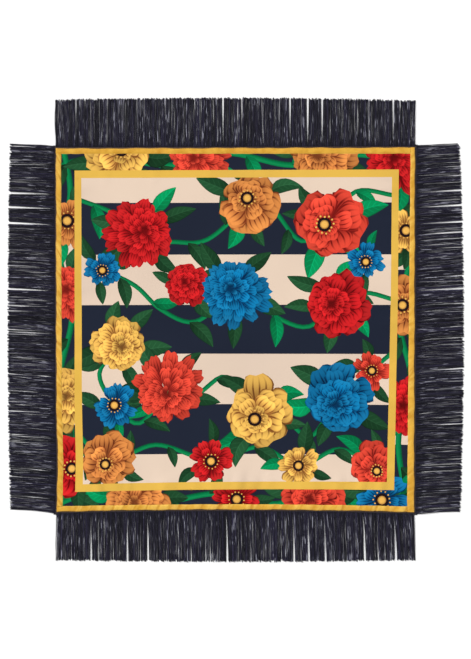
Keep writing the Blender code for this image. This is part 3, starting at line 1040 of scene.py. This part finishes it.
def make_tape(name, material):
    """The header tape, tucked under the hem, with the yarn's rows standing on it."""
    side = SIDE[name]
    overrun = CORNER_STEP if side.flat else SIDE_OVERRUN
    reach = side.half + overrun
    tuck_end = side.half - TUCK - SEAM_GAP
    a = np.linspace(-reach, reach, 401)
    if not side.flat:
        a = np.sort(np.concatenate([a, [-tuck_end, -tuck_end - 1e-4, tuck_end, tuck_end + 1e-4]]))
    a = a[:, None]
    inner = np.full(a.shape, -TUCK)
    if not side.flat:
        inner = np.where(np.abs(a) <= tuck_end + 2e-5, -TUCK, CORNER_STEP + SEAM_GAP)
    section = np.array([
        (0.00, 0.05), (0.02, 0.75), (0.10, 1.0), (0.42, 0.92), (0.60, 1.0), (0.80, 0.90), (0.94, 0.95),
        (0.99, 0.55), (1.0, 0.0), (0.5, 0.0),
    ])
    b = inner + (HEADER + 0.0012 * np.sin(a * 60) * 0.3 - inner) * section[None, :, 0]
    x, y = side.point(np.broadcast_to(a, b.shape), b)
    ripple = 0.0002 * np.sin(a * 2400) * (section[None, :, 1] > 0.8)
    z = TAPE_WALL * section[None, :, 1] + ripple + 0 * b
    layers = {"out": np.broadcast_to(b, x.shape)}
    return outward(loft(f"header_tape_{name}", np.stack([x, y, z], -1), material, 4, layers))


def yarn_material(settings):
    finish = Finish("navy chainette yarn", Specular_IOR_Level=0.25)
    strand = finish.attribute("strand")
    drop = finish.attribute("drop")
    around = finish.attribute("around")
    place = finish.place()
    own = (strand * 12.9898).sine() * 43758.5453
    own = own.math("FRACT")
    streak = finish.noise(finish.node("ShaderNodeCombineXYZ", None, {
        0: strand * 0.37, 1: drop * 2.6, 2: own * 7.0}).outputs[0], 1.0, 2.0, 0.6)
    glint = streak.rise(0.56, 0.66) * (own.rise(0.35, 0.9) * 0.85 + 0.15) * drop.rise(0.0, 0.14)
    colour = finish.mix(own ** 3.0, tuple(settings.dark_yarn), tuple(settings.light_yarn))
    colour = finish.mix(glint * 0.88, colour, tuple(settings.glint))
    knit = (drop * 260 + (around * math.tau).sine() * 1.4).sine()
    colour = finish.mix(knit.rise(-0.2, 0.9) * 0.35, colour, linear(12, 11, 19))
    finish.send(Base_Color=colour, Roughness=0.48 + streak * 0.25)
    finish.bump(knit * 0.8 + finish.noise(place, 1500, 2.0), 0.00012, 0.7)
    return finish.material


def tape_material(settings):
    finish = Finish("navy header tape", Specular_IOR_Level=0.3, Sheen_Weight=0.02)
    out = finish.attribute("out")
    place = finish.place()
    fine = finish.noise(place, 600, 2.0)
    rows = (out * (math.tau / 0.0026)).sine()
    colour = finish.mix(fine, tuple(settings.dark_tape), tuple(settings.light_tape))
    line = (1 - abs(out - 0.0012).rise(0.0003, 0.0009)) * 0.75
    colour = finish.mix(line, colour, linear(96, 66, 40))
    colour = finish.mix(rows.rise(0.0, 1.0) * 0.4, colour, linear(18, 18, 24))
    finish.send(Base_Color=colour, Roughness=0.5 + fine * 0.2)
    finish.bump(rows * 0.5 + fine, 0.0002, 0.7)
    return finish.material


class Tree:
    """A geometry tree in the making, with named inputs."""

    def __init__(self, name, inputs):
        self.tree = bpy.data.node_groups.new(name, "GeometryNodeTree")
        self.tree.interface.new_socket("Geometry", in_out="INPUT", socket_type="NodeSocketGeometry")
        self.tree.interface.new_socket("Geometry", in_out="OUTPUT", socket_type="NodeSocketGeometry")
        self.keys = {}
        for label, kind in inputs:
            item = self.tree.interface.new_socket(label, in_out="INPUT", socket_type=kind)
            self.keys[label] = item.identifier
        self.source = self.tree.nodes.new("NodeGroupInput")
        self.end = self.tree.nodes.new("NodeGroupOutput")

    def node(self, kind, settings=None, inputs=None):
        node = self.tree.nodes.new(kind)
        for key, value in (settings or {}).items():
            setattr(node, key, value)
        for key, value in (inputs or {}).items():
            socket = node.inputs[key]
            if isinstance(value, str):
                value = self.source.outputs[value]
            if isinstance(value, bpy.types.NodeSocket):
                self.tree.links.new(value, socket)
            else:
                socket.default_value = value
        return node

    def maths(self, operation, *values):
        return self.node("ShaderNodeMath", dict(operation=operation), dict(enumerate(values))).outputs[0]

    def finish(self, geometry):
        real = self.node("GeometryNodeRealizeInstances", None, {0: geometry}).outputs[0]
        done = self.node("GeometryNodeSetMaterial", None, {"Geometry": real, "Material": "Material"})
        self.tree.links.new(done.outputs[0], self.end.inputs[0])
        return self.tree


def fringe_tree():
    """Sweeps a flat yarn along every guide line and lets it wander a little."""
    tree = Tree("Fringe strands", (
        ("Yarn Width", "NodeSocketFloat"), ("Yarn Thickness", "NodeSocketFloat"),
        ("Wander", "NodeSocketFloat"), ("Wander Scale", "NodeSocketFloat"),
        ("Seed", "NodeSocketFloat"), ("Material", "NodeSocketMaterial"),
    ))

    def field(name):
        node = tree.node("GeometryNodeInputNamedAttribute", dict(data_type="FLOAT"))
        node.inputs["Name"].default_value = name
        return node.outputs["Attribute"]

    lines = tree.node("GeometryNodeMeshToCurve", None, {0: tree.source.outputs["Geometry"]}).outputs[0]
    position = tree.node("GeometryNodeInputPosition").outputs[0]
    own = tree.maths("ADD", tree.maths("MULTIPLY", field("strand"), 7.31), tree.source.outputs["Seed"])
    noise = tree.node("ShaderNodeTexNoise", dict(noise_dimensions="4D"), {
        "Vector": position, "W": own, "Scale": tree.source.outputs["Wander Scale"], "Detail": 1.0})
    centred = tree.node("ShaderNodeVectorMath", dict(operation="SUBTRACT"),
                        {0: noise.outputs["Color"], 1: (0.5, 0.5, 0.5)}).outputs[0]
    amount = tree.maths("MULTIPLY", tree.source.outputs["Wander"], field("loose"))
    flat = tree.node("ShaderNodeVectorMath", dict(operation="MULTIPLY"),
                     {0: centred, 1: (1, 1, 0)}).outputs[0]
    offset = tree.node("ShaderNodeVectorMath", dict(operation="SCALE"),
                       {0: flat, "Scale": amount}).outputs[0]
    moved = tree.node("GeometryNodeSetPosition", None, {"Geometry": lines, "Offset": offset}).outputs[0]
    level = tree.node("GeometryNodeSetCurveNormal", None, {"Curve": moved})
    if hasattr(level, "mode"):
        level.mode = "Z_UP"
    turned = tree.node("GeometryNodeSetCurveTilt", None,
                       {"Curve": level.outputs[0], "Tilt": field("tilt")}).outputs[0]
    sized = tree.node("GeometryNodeSetCurveRadius", None,
                      {"Curve": turned, "Radius": field("girth")}).outputs[0]
    circle = tree.node("GeometryNodeCurvePrimitiveCircle", None,
                       {"Resolution": 4, "Radius": 1.0}).outputs[0]
    index = tree.node("GeometryNodeInputIndex").outputs[0]
    marked = tree.node("GeometryNodeStoreNamedAttribute", dict(data_type="FLOAT", domain="POINT"))
    marked.inputs["Name"].default_value = "around"
    tree.tree.links.new(circle, marked.inputs["Geometry"])
    tree.tree.links.new(tree.maths("DIVIDE", index, 4.0), marked.inputs["Value"])
    size = tree.node("ShaderNodeCombineXYZ", None, {
        0: tree.maths("MULTIPLY", tree.source.outputs["Yarn Width"], 0.5),
        1: tree.maths("MULTIPLY", tree.source.outputs["Yarn Thickness"], 0.5), 2: 1.0}).outputs[0]
    profile = tree.node("GeometryNodeTransform", None,
                        {"Geometry": marked.outputs[0], "Scale": size}).outputs[0]
    swept = tree.node("GeometryNodeCurveToMesh", None,
                      {"Curve": sized, "Profile Curve": profile, "Fill Caps": True})
    if "Scale" in swept.inputs:
        tree.tree.links.new(field("girth"), swept.inputs["Scale"])
    return tree, tree.finish(swept.outputs[0])


def grown(name, guides, tree, group, values):
    """The plain mesh that a geometry tree makes from its guides."""
    source = bpy.data.objects.new(name + "_guides", guides)
    bpy.context.scene.collection.objects.link(source)
    modifier = source.modifiers.new("grow", "NODES")
    modifier.node_group = group
    for label, value in values.items():
        modifier[tree.keys[label]] = value
    bpy.context.view_layer.update()
    seen = source.evaluated_get(bpy.context.evaluated_depsgraph_get())
    mesh = bpy.data.meshes.new_from_object(seen, preserve_all_data_layers=True,
                                           depsgraph=bpy.context.evaluated_depsgraph_get())
    source.modifiers.remove(modifier)
    bpy.data.objects.remove(source)
    mesh.name = name
    piece = bpy.data.objects.new(name, mesh)
    bpy.context.scene.collection.objects.link(piece)
    return piece


def fringe_guides(name, settings):
    """Guide lines of one side's strands, in two layers, from the tape to their tips."""
    side = SIDE[name]
    row = side.row
    count = settings.strands
    draw = np.random.default_rng(settings.seed + row["turns"])
    overrun = CORNER_STEP if side.flat else SIDE_OVERRUN
    span = 2 * (side.half + overrun) - 0.003
    # Places along a strand, in shares of its length, closer together at both ends
    drops = np.array([
        0, 0.03, 0.07, 0.13, 0.2, 0.28, 0.36, 0.44, 0.52, 0.6, 0.68, 0.76, 0.84, 0.91, 0.96, 1.0])
    steps = len(drops)
    points, edges = [], []
    layer_values = {"strand": [], "drop": [], "tilt": [], "girth": [], "loose": []}
    total = 2 * count
    slits = np.array(row["slits"])
    for layer in range(2):
        k = np.arange(count)
        place = (k + 0.5 + 0.5 * layer + 0.25 * (draw.random(count) - 0.5)) / (count + 0.5)
        a = -span / 2 + span * place
        share = (a + side.half) / (2 * side.half)
        swing = row["swing"][0] * (1 - share) + row["swing"][1] * share
        relative = a / side.half
        bow = np.where(relative > 0, row["short"][1], row["short"][0]) * relative ** 2
        tuft = np.sin(a * 310 + 2 * layer) + np.sin(a * 730 + 1.1)
        ragged = TIP_SPREAD * draw.random(count) ** 1.6 + 0.0007 * (2 - tuft)
        sway = 0.0018 * np.sin(a * 71 + row["turns"]) + 0.0012 * np.sin(a * 163 + 1.3)
        stops = np.cumsum(0.005 + 0.014 * draw.random(200)) - side.half - 0.02
        lock = (stops[:-1] + stops[1:])[np.clip(np.searchsorted(stops, a) - 1, 0, 198)] / 2
        pull = (lock - a) * (0.03 + 0.17 * draw.random(count))
        open_slit, free = np.zeros(count), np.ones(count)
        for slit in slits:
            off = a - slit
            open_slit += np.sign(off) * 0.0031 * np.exp(-np.abs(off) / 0.008)
            free *= 1 - np.exp(-np.abs(off) / 0.010)
        root_b = HEADER - 0.0045 + 0.001 * draw.random(count)
        root_x, root_y = side.point(a, root_b)
        out_root = root_x * side.outward[0] + root_y * side.outward[1]
        out = side.reach - 0.0006 - bow - ragged - out_root
        fray = draw.normal(size=count) * 0.0012
        for drop in drops:
            shift = swing * drop ** 0.7 + sway * math.sin(math.pi * min(drop, 0.5))
            shift = shift + open_slit * drop ** 0.65
            shift = shift + free * (pull * min(1, drop * 5) + fray * drop)
            x = root_x + side.along[0] * shift + side.outward[0] * out * drop
            y = root_y + side.along[1] * shift + side.outward[1] * out * drop
            high = TAPE_WALL + 0.0004 + 0.0006 * layer
            rest = 0.0009 + 0.0009 * layer + 0.0005 * math.sin(math.pi * drop)
            z = rest + (high - rest) * (1 - smooth(np.array(drop / 0.13)))
            wave = 0.0002 * np.sin(a * 900 + drop * 9)
            points.append(np.stack([x, y, np.full(count, z) + wave], 1))
            layer_values["strand"].append(k + layer * count)
            layer_values["drop"].append(np.full(count, drop))
            layer_values["tilt"].append(0.35 * np.sin(k * 2.4 + drop * 5 + layer))
            girth = 0.72 if drop < 0.02 else 1.0 if drop < 0.95 else 1.22
            layer_values["girth"].append(np.full(count, girth))
            layer_values["loose"].append(free * min(1, drop * 6))
    points = np.concatenate(points)
    for layer in range(2):
        for n in range(steps - 1):
            base = (layer * steps + n) * count
            k = np.arange(count)
            edges.append(np.stack([base + k, base + count + k], 1))
    mesh = bpy.data.meshes.new(f"{name}_guides")
    mesh.from_pydata(points.tolist(), np.concatenate(edges).tolist(), [])
    for key, values in layer_values.items():
        mesh.attributes.new(key, "FLOAT", "POINT").data.foreach_set(
            "value", np.concatenate(values).astype(np.float32))
    return mesh, total


def unwrap_strands(mesh, total):
    """A map in which every strand has a narrow cell of its own."""
    corner = np.zeros(len(mesh.loops), int)
    mesh.loops.foreach_get("vertex_index", corner)

    def read(key):
        values = np.zeros(len(mesh.vertices), np.float32)
        mesh.attributes[key].data.foreach_get("value", values)
        return values[corner]

    strand, drop, around = np.round(read("strand")).astype(int), read("drop"), read("around")
    starts = np.zeros(len(mesh.polygons), int)
    totals = np.zeros(len(mesh.polygons), int)
    mesh.polygons.foreach_get("loop_start", starts)
    mesh.polygons.foreach_get("loop_total", totals)
    polygon = np.repeat(np.arange(len(starts)), totals)
    highest = np.zeros(len(starts))
    np.maximum.at(highest, polygon, around)
    lowest = np.ones(len(starts))
    np.minimum.at(lowest, polygon, around)
    wraps = (highest - lowest)[polygon] > 0.6
    around = np.where(wraps & (around < 0.2), 1.0, around)
    per_row = math.ceil(total / 4)
    u = (strand % per_row + 0.06 + 0.88 * around) / per_row
    v = (strand // per_row + 0.02 + 0.94 * drop) / 4
    unwrapped = np.stack([u, v], 1).astype(np.float32)
    mesh.uv_layers.new(name="OFBake").data.foreach_set("uv", unwrapped.ravel())


def stitch_tree():
    """Lays a short round stitch at even steps along a seam, leaning left and right in turn."""
    tree = Tree("Seam stitches", (
        ("Pitch", "NodeSocketFloat"), ("Stitch Length", "NodeSocketFloat"), ("Thread", "NodeSocketFloat"),
        ("Lean", "NodeSocketFloat"), ("Material", "NodeSocketMaterial"),
    ))
    lines = tree.node("GeometryNodeMeshToCurve", None, {0: tree.source.outputs["Geometry"]}).outputs[0]
    even = tree.node("GeometryNodeResampleCurve", None, {"Curve": lines})
    if hasattr(even, "mode"):
        even.mode = "LENGTH"
    tree.tree.links.new(tree.source.outputs["Pitch"], even.inputs["Length"])
    half = tree.maths("MULTIPLY", tree.source.outputs["Stitch Length"], 0.5)
    sink = tree.maths("MULTIPLY", tree.source.outputs["Thread"], -0.9)
    back = tree.maths("MULTIPLY", half, -1.0)
    start = tree.node("ShaderNodeCombineXYZ", None, {0: back, 2: sink}).outputs[0]
    end = tree.node("ShaderNodeCombineXYZ", None, {0: half, 2: sink}).outputs[0]
    top = tree.node("ShaderNodeCombineXYZ", None, {0: 0.0, 2: tree.source.outputs["Thread"]}).outputs[0]
    arch = tree.node("GeometryNodeCurveQuadraticBezier", None,
                     {"Resolution": 4, "Start": start, "Middle": top, "End": end}).outputs[0]
    thin = tree.maths("MULTIPLY", tree.source.outputs["Thread"], 0.5)
    round_ = tree.node("GeometryNodeCurvePrimitiveCircle", None, {"Resolution": 5, "Radius": thin})
    stitch = tree.node("GeometryNodeCurveToMesh", None,
                       {"Curve": arch, "Profile Curve": round_.outputs[0], "Fill Caps": True}).outputs[0]
    tangent = tree.node("GeometryNodeInputTangent").outputs[0]
    facing = tree.node("FunctionNodeAlignRotationToVector", dict(axis="X", pivot_axis="Z"),
                       {"Vector": tangent})
    index = tree.node("GeometryNodeInputIndex").outputs[0]
    turn = tree.maths("SUBTRACT", tree.maths("MULTIPLY", tree.maths("MODULO", index, 2.0), 2.0), 1.0)
    lean = tree.node("ShaderNodeCombineXYZ", None,
                     {2: tree.maths("MULTIPLY", turn, tree.source.outputs["Lean"])}).outputs[0]
    leaning = tree.node("FunctionNodeRotateRotation", dict(rotation_space="LOCAL"),
                        {0: facing.outputs[0], 1: lean}).outputs[0]
    placed = tree.node("GeometryNodeInstanceOnPoints", None, {
        "Points": even.outputs[0], "Instance": stitch, "Rotation": leaning}).outputs[0]
    return tree, tree.finish(placed)


def settled(piece, slot, *nodes):
    """Gives a finished piece to the frame."""
    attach(piece, "root")
    if nodes:
        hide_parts(*nodes)
    return piece


class ScarfSilk(bpy.types.PropertyGroup):
    twill_pitch: bpy.props.FloatProperty(
        name="Twill pitch", description="Distance between the silk's slanting ribs", default=0.0011,
        unit="LENGTH", precision=5)
    weave_depth: bpy.props.FloatProperty(
        name="Weave depth", description="Depth of the ribs in the surface", default=0.00003, unit="LENGTH",
        precision=6)
    seed: bpy.props.IntProperty(
        name="Seed", description="Changes how the petals and leaves fall", default=5)
    cream: colour_property("Cream", "The pale stripes", INKS["cream"])
    navy: colour_property("Navy", "The dark stripes and the border", INKS["navy"])
    yellow: colour_property("Yellow", "The line inside the border", INKS["yellow"])
    vermilion: colour_property("Vermilion", "The lighter red blooms", INKS["vermilion"])
    crimson: colour_property("Crimson", "The darker red blooms", INKS["crimson"])
    blue: colour_property("Blue", "The blue blooms", INKS["blue"])
    ochre: colour_property("Ochre", "The brown blooms", INKS["ochre"])
    gold: colour_property("Gold", "The yellow blooms", INKS["gold"])
    emerald: colour_property("Emerald", "The stems and the light leaves", INKS["emerald"])
    leaf: colour_property("Leaf", "The dark leaves", INKS["leaf"])
    seed_ring: colour_property("Seeds", "The dark hearts of open blooms", INKS["seed_ring"])


class ScarfHems(bpy.types.PropertyGroup):
    gather_height: bpy.props.FloatProperty(
        name="Gather height", description="Height of the gathers, in shares of the part's puckers",
        default=1.0, min=0.0, max=1.5, subtype="FACTOR")
    deep: colour_property("Deep yellow", "The darker patches of the hem", (210, 152, 34))
    light: colour_property("Light yellow", "The lighter patches of the hem", (232, 177, 58))
    # Painted highlight on the tops of the gathers.
    swell: colour_property("Swell", "The tops of the gathers", (252, 212, 104))
    # Painted shade in the bottoms of the gathers.
    crease: colour_property("Crease", "The bottoms of the gathers", (194, 132, 24))


class ScarfFringe(bpy.types.PropertyGroup):
    strands: bpy.props.IntProperty(
        name="Strands", description="Strands in each of a side's two layers", default=400, min=20, max=600)
    yarn_width: bpy.props.FloatProperty(
        name="Yarn width", description="Width of the flat yarn", default=0.00192, unit="LENGTH",
        precision=5)
    yarn_thickness: bpy.props.FloatProperty(
        name="Yarn thickness", description="Thickness of the flat yarn", default=0.0010, unit="LENGTH",
        precision=5)
    wander: bpy.props.FloatProperty(
        name="Wander", description="How far a strand strays from its line", default=0.0055, unit="LENGTH",
        precision=5)
    seed: bpy.props.IntProperty(name="Seed", description="Changes how the strands fall", default=3)
    dark_yarn: colour_property("Dark yarn", "Most of the strands", (7, 5, 20))
    light_yarn: colour_property("Light yarn", "The palest strands", (50, 46, 74))
    glint: colour_property("Glint", "Where the yarn catches the light", (178, 178, 194))
    dark_tape: colour_property("Dark tape", "The header tape's hollows", (29, 24, 32))
    light_tape: colour_property("Light tape", "The header tape's threads", (50, 43, 50))


class ScarfStage(bpy.types.PropertyGroup):
    floor_tone: bpy.props.FloatVectorProperty(
        name="Floor", description="Colour of the floor", default=(0.90, 0.90, 0.90), subtype="COLOR",
        size=3, min=0, max=1)
    key_strength: bpy.props.FloatProperty(
        name="Key light", description="Strength of the light from the upper left", default=3.50)
    fill_strength: bpy.props.FloatProperty(
        name="Fill light", description="Strength of the broad light from the lower right", default=1.05)
    sky: bpy.props.FloatProperty(
        name="Room light", description="Strength of the light from all round", default=0.35,
        subtype="FACTOR")


class SCARF_OT_silk(bpy.types.Operator):
    """Draws the print and makes the silk"""
    bl_idname = "scarf.silk"
    bl_label = "Printed silk"

    def execute(self, context):
        settings = context.scene.scarf_silk
        piece = make_silk(draw_print(settings), silk_material(settings))
        settled(piece, "silk_print", "silk_panel")
        return {"FINISHED"}


class SCARF_OT_hems(bpy.types.Operator):
    """Makes the four turned and gathered hems"""
    bl_idname = "scarf.hems"
    bl_label = "Hems"

    def execute(self, context):
        settings = context.scene.scarf_hems
        material = hem_material(settings)
        for name in SIDES:
            settled(make_hem(name, settings, material), "hem_silk", f"hem_{name}")
        return {"FINISHED"}


class SCARF_OT_tapes(bpy.types.Operator):
    """Makes the four header tapes"""
    bl_idname = "scarf.tapes"
    bl_label = "Header tapes"

    def execute(self, context):
        material = tape_material(context.scene.scarf_fringe)
        for name in SIDES:
            settled(make_tape(name, material), "fringe_yarn")
        return {"FINISHED"}


class SCARF_OT_fringes(bpy.types.Operator):
    """Grows the strands of the four fringes"""
    bl_idname = "scarf.fringes"
    bl_label = "Fringes"

    def execute(self, context):
        settings = context.scene.scarf_fringe
        material = yarn_material(settings)
        tree, group = fringe_tree()
        for name in SIDES:
            guides, total = fringe_guides(name, settings)
            piece = grown(f"strands_{name}", guides, tree, group, {
                "Yarn Width": settings.yarn_width, "Yarn Thickness": settings.yarn_thickness,
                "Wander": settings.wander, "Wander Scale": WANDER_SCALE, "Seed": float(settings.seed),
                "Material": material,
            })
            unwrap_strands(piece.data, total)
            settled(piece, "fringe_yarn", f"fringe_{name}")
        return {"FINISHED"}


class SCARF_OT_stitches(bpy.types.Operator):
    """Sews the hems down with small slanting stitches"""
    bl_idname = "scarf.stitches"
    bl_label = "Stitches"

    def execute(self, context):
        finish = Finish("navy sewing thread", Roughness=0.55)
        place = finish.place()
        finish.send(Base_Color=finish.mix(
            finish.noise(place, 1800), linear(24, 26, 36), linear(60, 60, 72)))
        tree, group = stitch_tree()
        for name, side in SIDE.items():
            low, high = side.hem_end(0, -0.014), side.hem_end(1, -0.014)
            a = np.arange(low + 0.003, high - 0.003, STITCH_PITCH)
            b = np.full(a.shape, -0.0011)
            height, _ = side.gather_form(a, b)
            x, y = side.point(a, b)
            z = SEAT + HEM_WALL * 0.84 + 0.8 * height * side.row["pucker"] + 0.0001
            mesh = bpy.data.meshes.new(f"seam_{name}")
            mesh.from_pydata(np.stack([x, y, z], 1).tolist(), [(k, k + 1) for k in range(len(a) - 1)], [])
            piece = grown(f"hem_stitches_{name}", mesh, tree, group, {
                "Pitch": STITCH_PITCH, "Stitch Length": STITCH_LENGTH, "Thread": THREAD,
                "Lean": STITCH_LEAN,
                "Material": finish.material,
            })
            settled(piece, "fringe_yarn")
        return {"FINISHED"}


class SCARF_OT_stage(bpy.types.Operator):
    """Sets the floor, the lights and the camera"""
    bl_idname = "scarf.stage"
    bl_label = "Stage"

    def execute(self, context):
        scene, settings = context.scene, context.scene.scarf_stage
        finish = Finish("pale floor", Roughness=0.8)
        place = finish.place()
        tone = tuple(settings.floor_tone)
        shade = tuple(v * 0.9 for v in tone)
        finish.send(Base_Color=finish.mix(finish.noise(place, 3.0) * 0.04, tone, shade))
        mesh = bpy.data.meshes.new("floor")
        corners = [(x * FLOOR_REACH, y * FLOOR_REACH, -FLOOR_GAP)
                   for x, y in ((-1, -1), (1, -1), (1, 1), (-1, 1))]
        mesh.from_pydata(corners, [], [(0, 1, 2, 3)])
        mesh.materials.append(finish.material)
        floor = bpy.data.objects.new("floor", mesh)
        scene.collection.objects.link(floor)

        world = bpy.data.worlds.new("room")
        world.use_nodes = True
        nodes, links = world.node_tree.nodes, world.node_tree.links
        backdrop = nodes["Background"]
        height = nodes.new("ShaderNodeSeparateXYZ")
        links.new(nodes.new("ShaderNodeTexCoord").outputs["Generated"], height.inputs[0])
        fall = nodes.new("ShaderNodeMapRange")
        for key, value in ((1, 0.13), (2, 0.24), (3, 1.05), (4, settings.sky)):
            fall.inputs[key].default_value = value
        links.new(height.outputs["Z"], fall.inputs[0])
        links.new(fall.outputs[0], backdrop.inputs["Strength"])
        backdrop.inputs["Color"].default_value = (1, 1, 1, 1)
        scene.world = world
        for name, place, breadth, strength in (
            ("key light", (-2.4, 2.0, 2.2), 24, settings.key_strength),
            ("fill light", (2.6, -1.4, 2.4), 60, settings.fill_strength),
        ):
            lamp = bpy.data.lights.new(name, "SUN")
            lamp.angle, lamp.energy = math.radians(breadth), strength
            light = bpy.data.objects.new(name, lamp)
            light.location = place
            light.rotation_euler = (-Vector(place)).to_track_quat("-Z", "Y").to_euler()
            scene.collection.objects.link(light)

        camera = bpy.data.objects.new("camera", bpy.data.cameras.new("camera"))
        camera.data.lens, camera.data.sensor_width = 100, 36
        camera.data.clip_end = 50
        camera.location = CAMERA_PLACE
        scene.collection.objects.link(camera)
        scene.camera = camera
        scene.view_settings.view_transform = "Standard"
        return {"FINISHED"}


OPERATORS = (
    SCARF_OT_stage, SCARF_OT_silk, SCARF_OT_hems, SCARF_OT_tapes, SCARF_OT_fringes, SCARF_OT_stitches,
)
GROUPS = {
    "scarf_silk": ScarfSilk, "scarf_hems": ScarfHems, "scarf_fringe": ScarfFringe,
    "scarf_stage": ScarfStage,
}


class SCARF_PT_sidebar(bpy.types.Panel):
    bl_label = "Fringed scarf"
    bl_space_type = "VIEW_3D"
    bl_region_type = "UI"
    bl_category = "Scarf"

    def draw(self, context):
        for operator in OPERATORS:
            self.layout.operator(operator.bl_idname)
        for name, group in GROUPS.items():
            box = self.layout.box()
            for key in group.__annotations__:
                box.prop(getattr(context.scene, name), key)


def register():
    for group in (*GROUPS.values(), *OPERATORS, SCARF_PT_sidebar):
        bpy.utils.register_class(group)
    for name, group in GROUPS.items():
        setattr(bpy.types.Scene, name, bpy.props.PointerProperty(type=group))


def unregister():
    for name in GROUPS:
        delattr(bpy.types.Scene, name)
    for group in reversed((*GROUPS.values(), *OPERATORS, SCARF_PT_sidebar)):
        bpy.utils.unregister_class(group)


def main():
    register()
    for operator in OPERATORS:
        getattr(bpy.ops.scarf, operator.bl_idname.split(".")[1])()


if __name__ == "__main__":
    main()
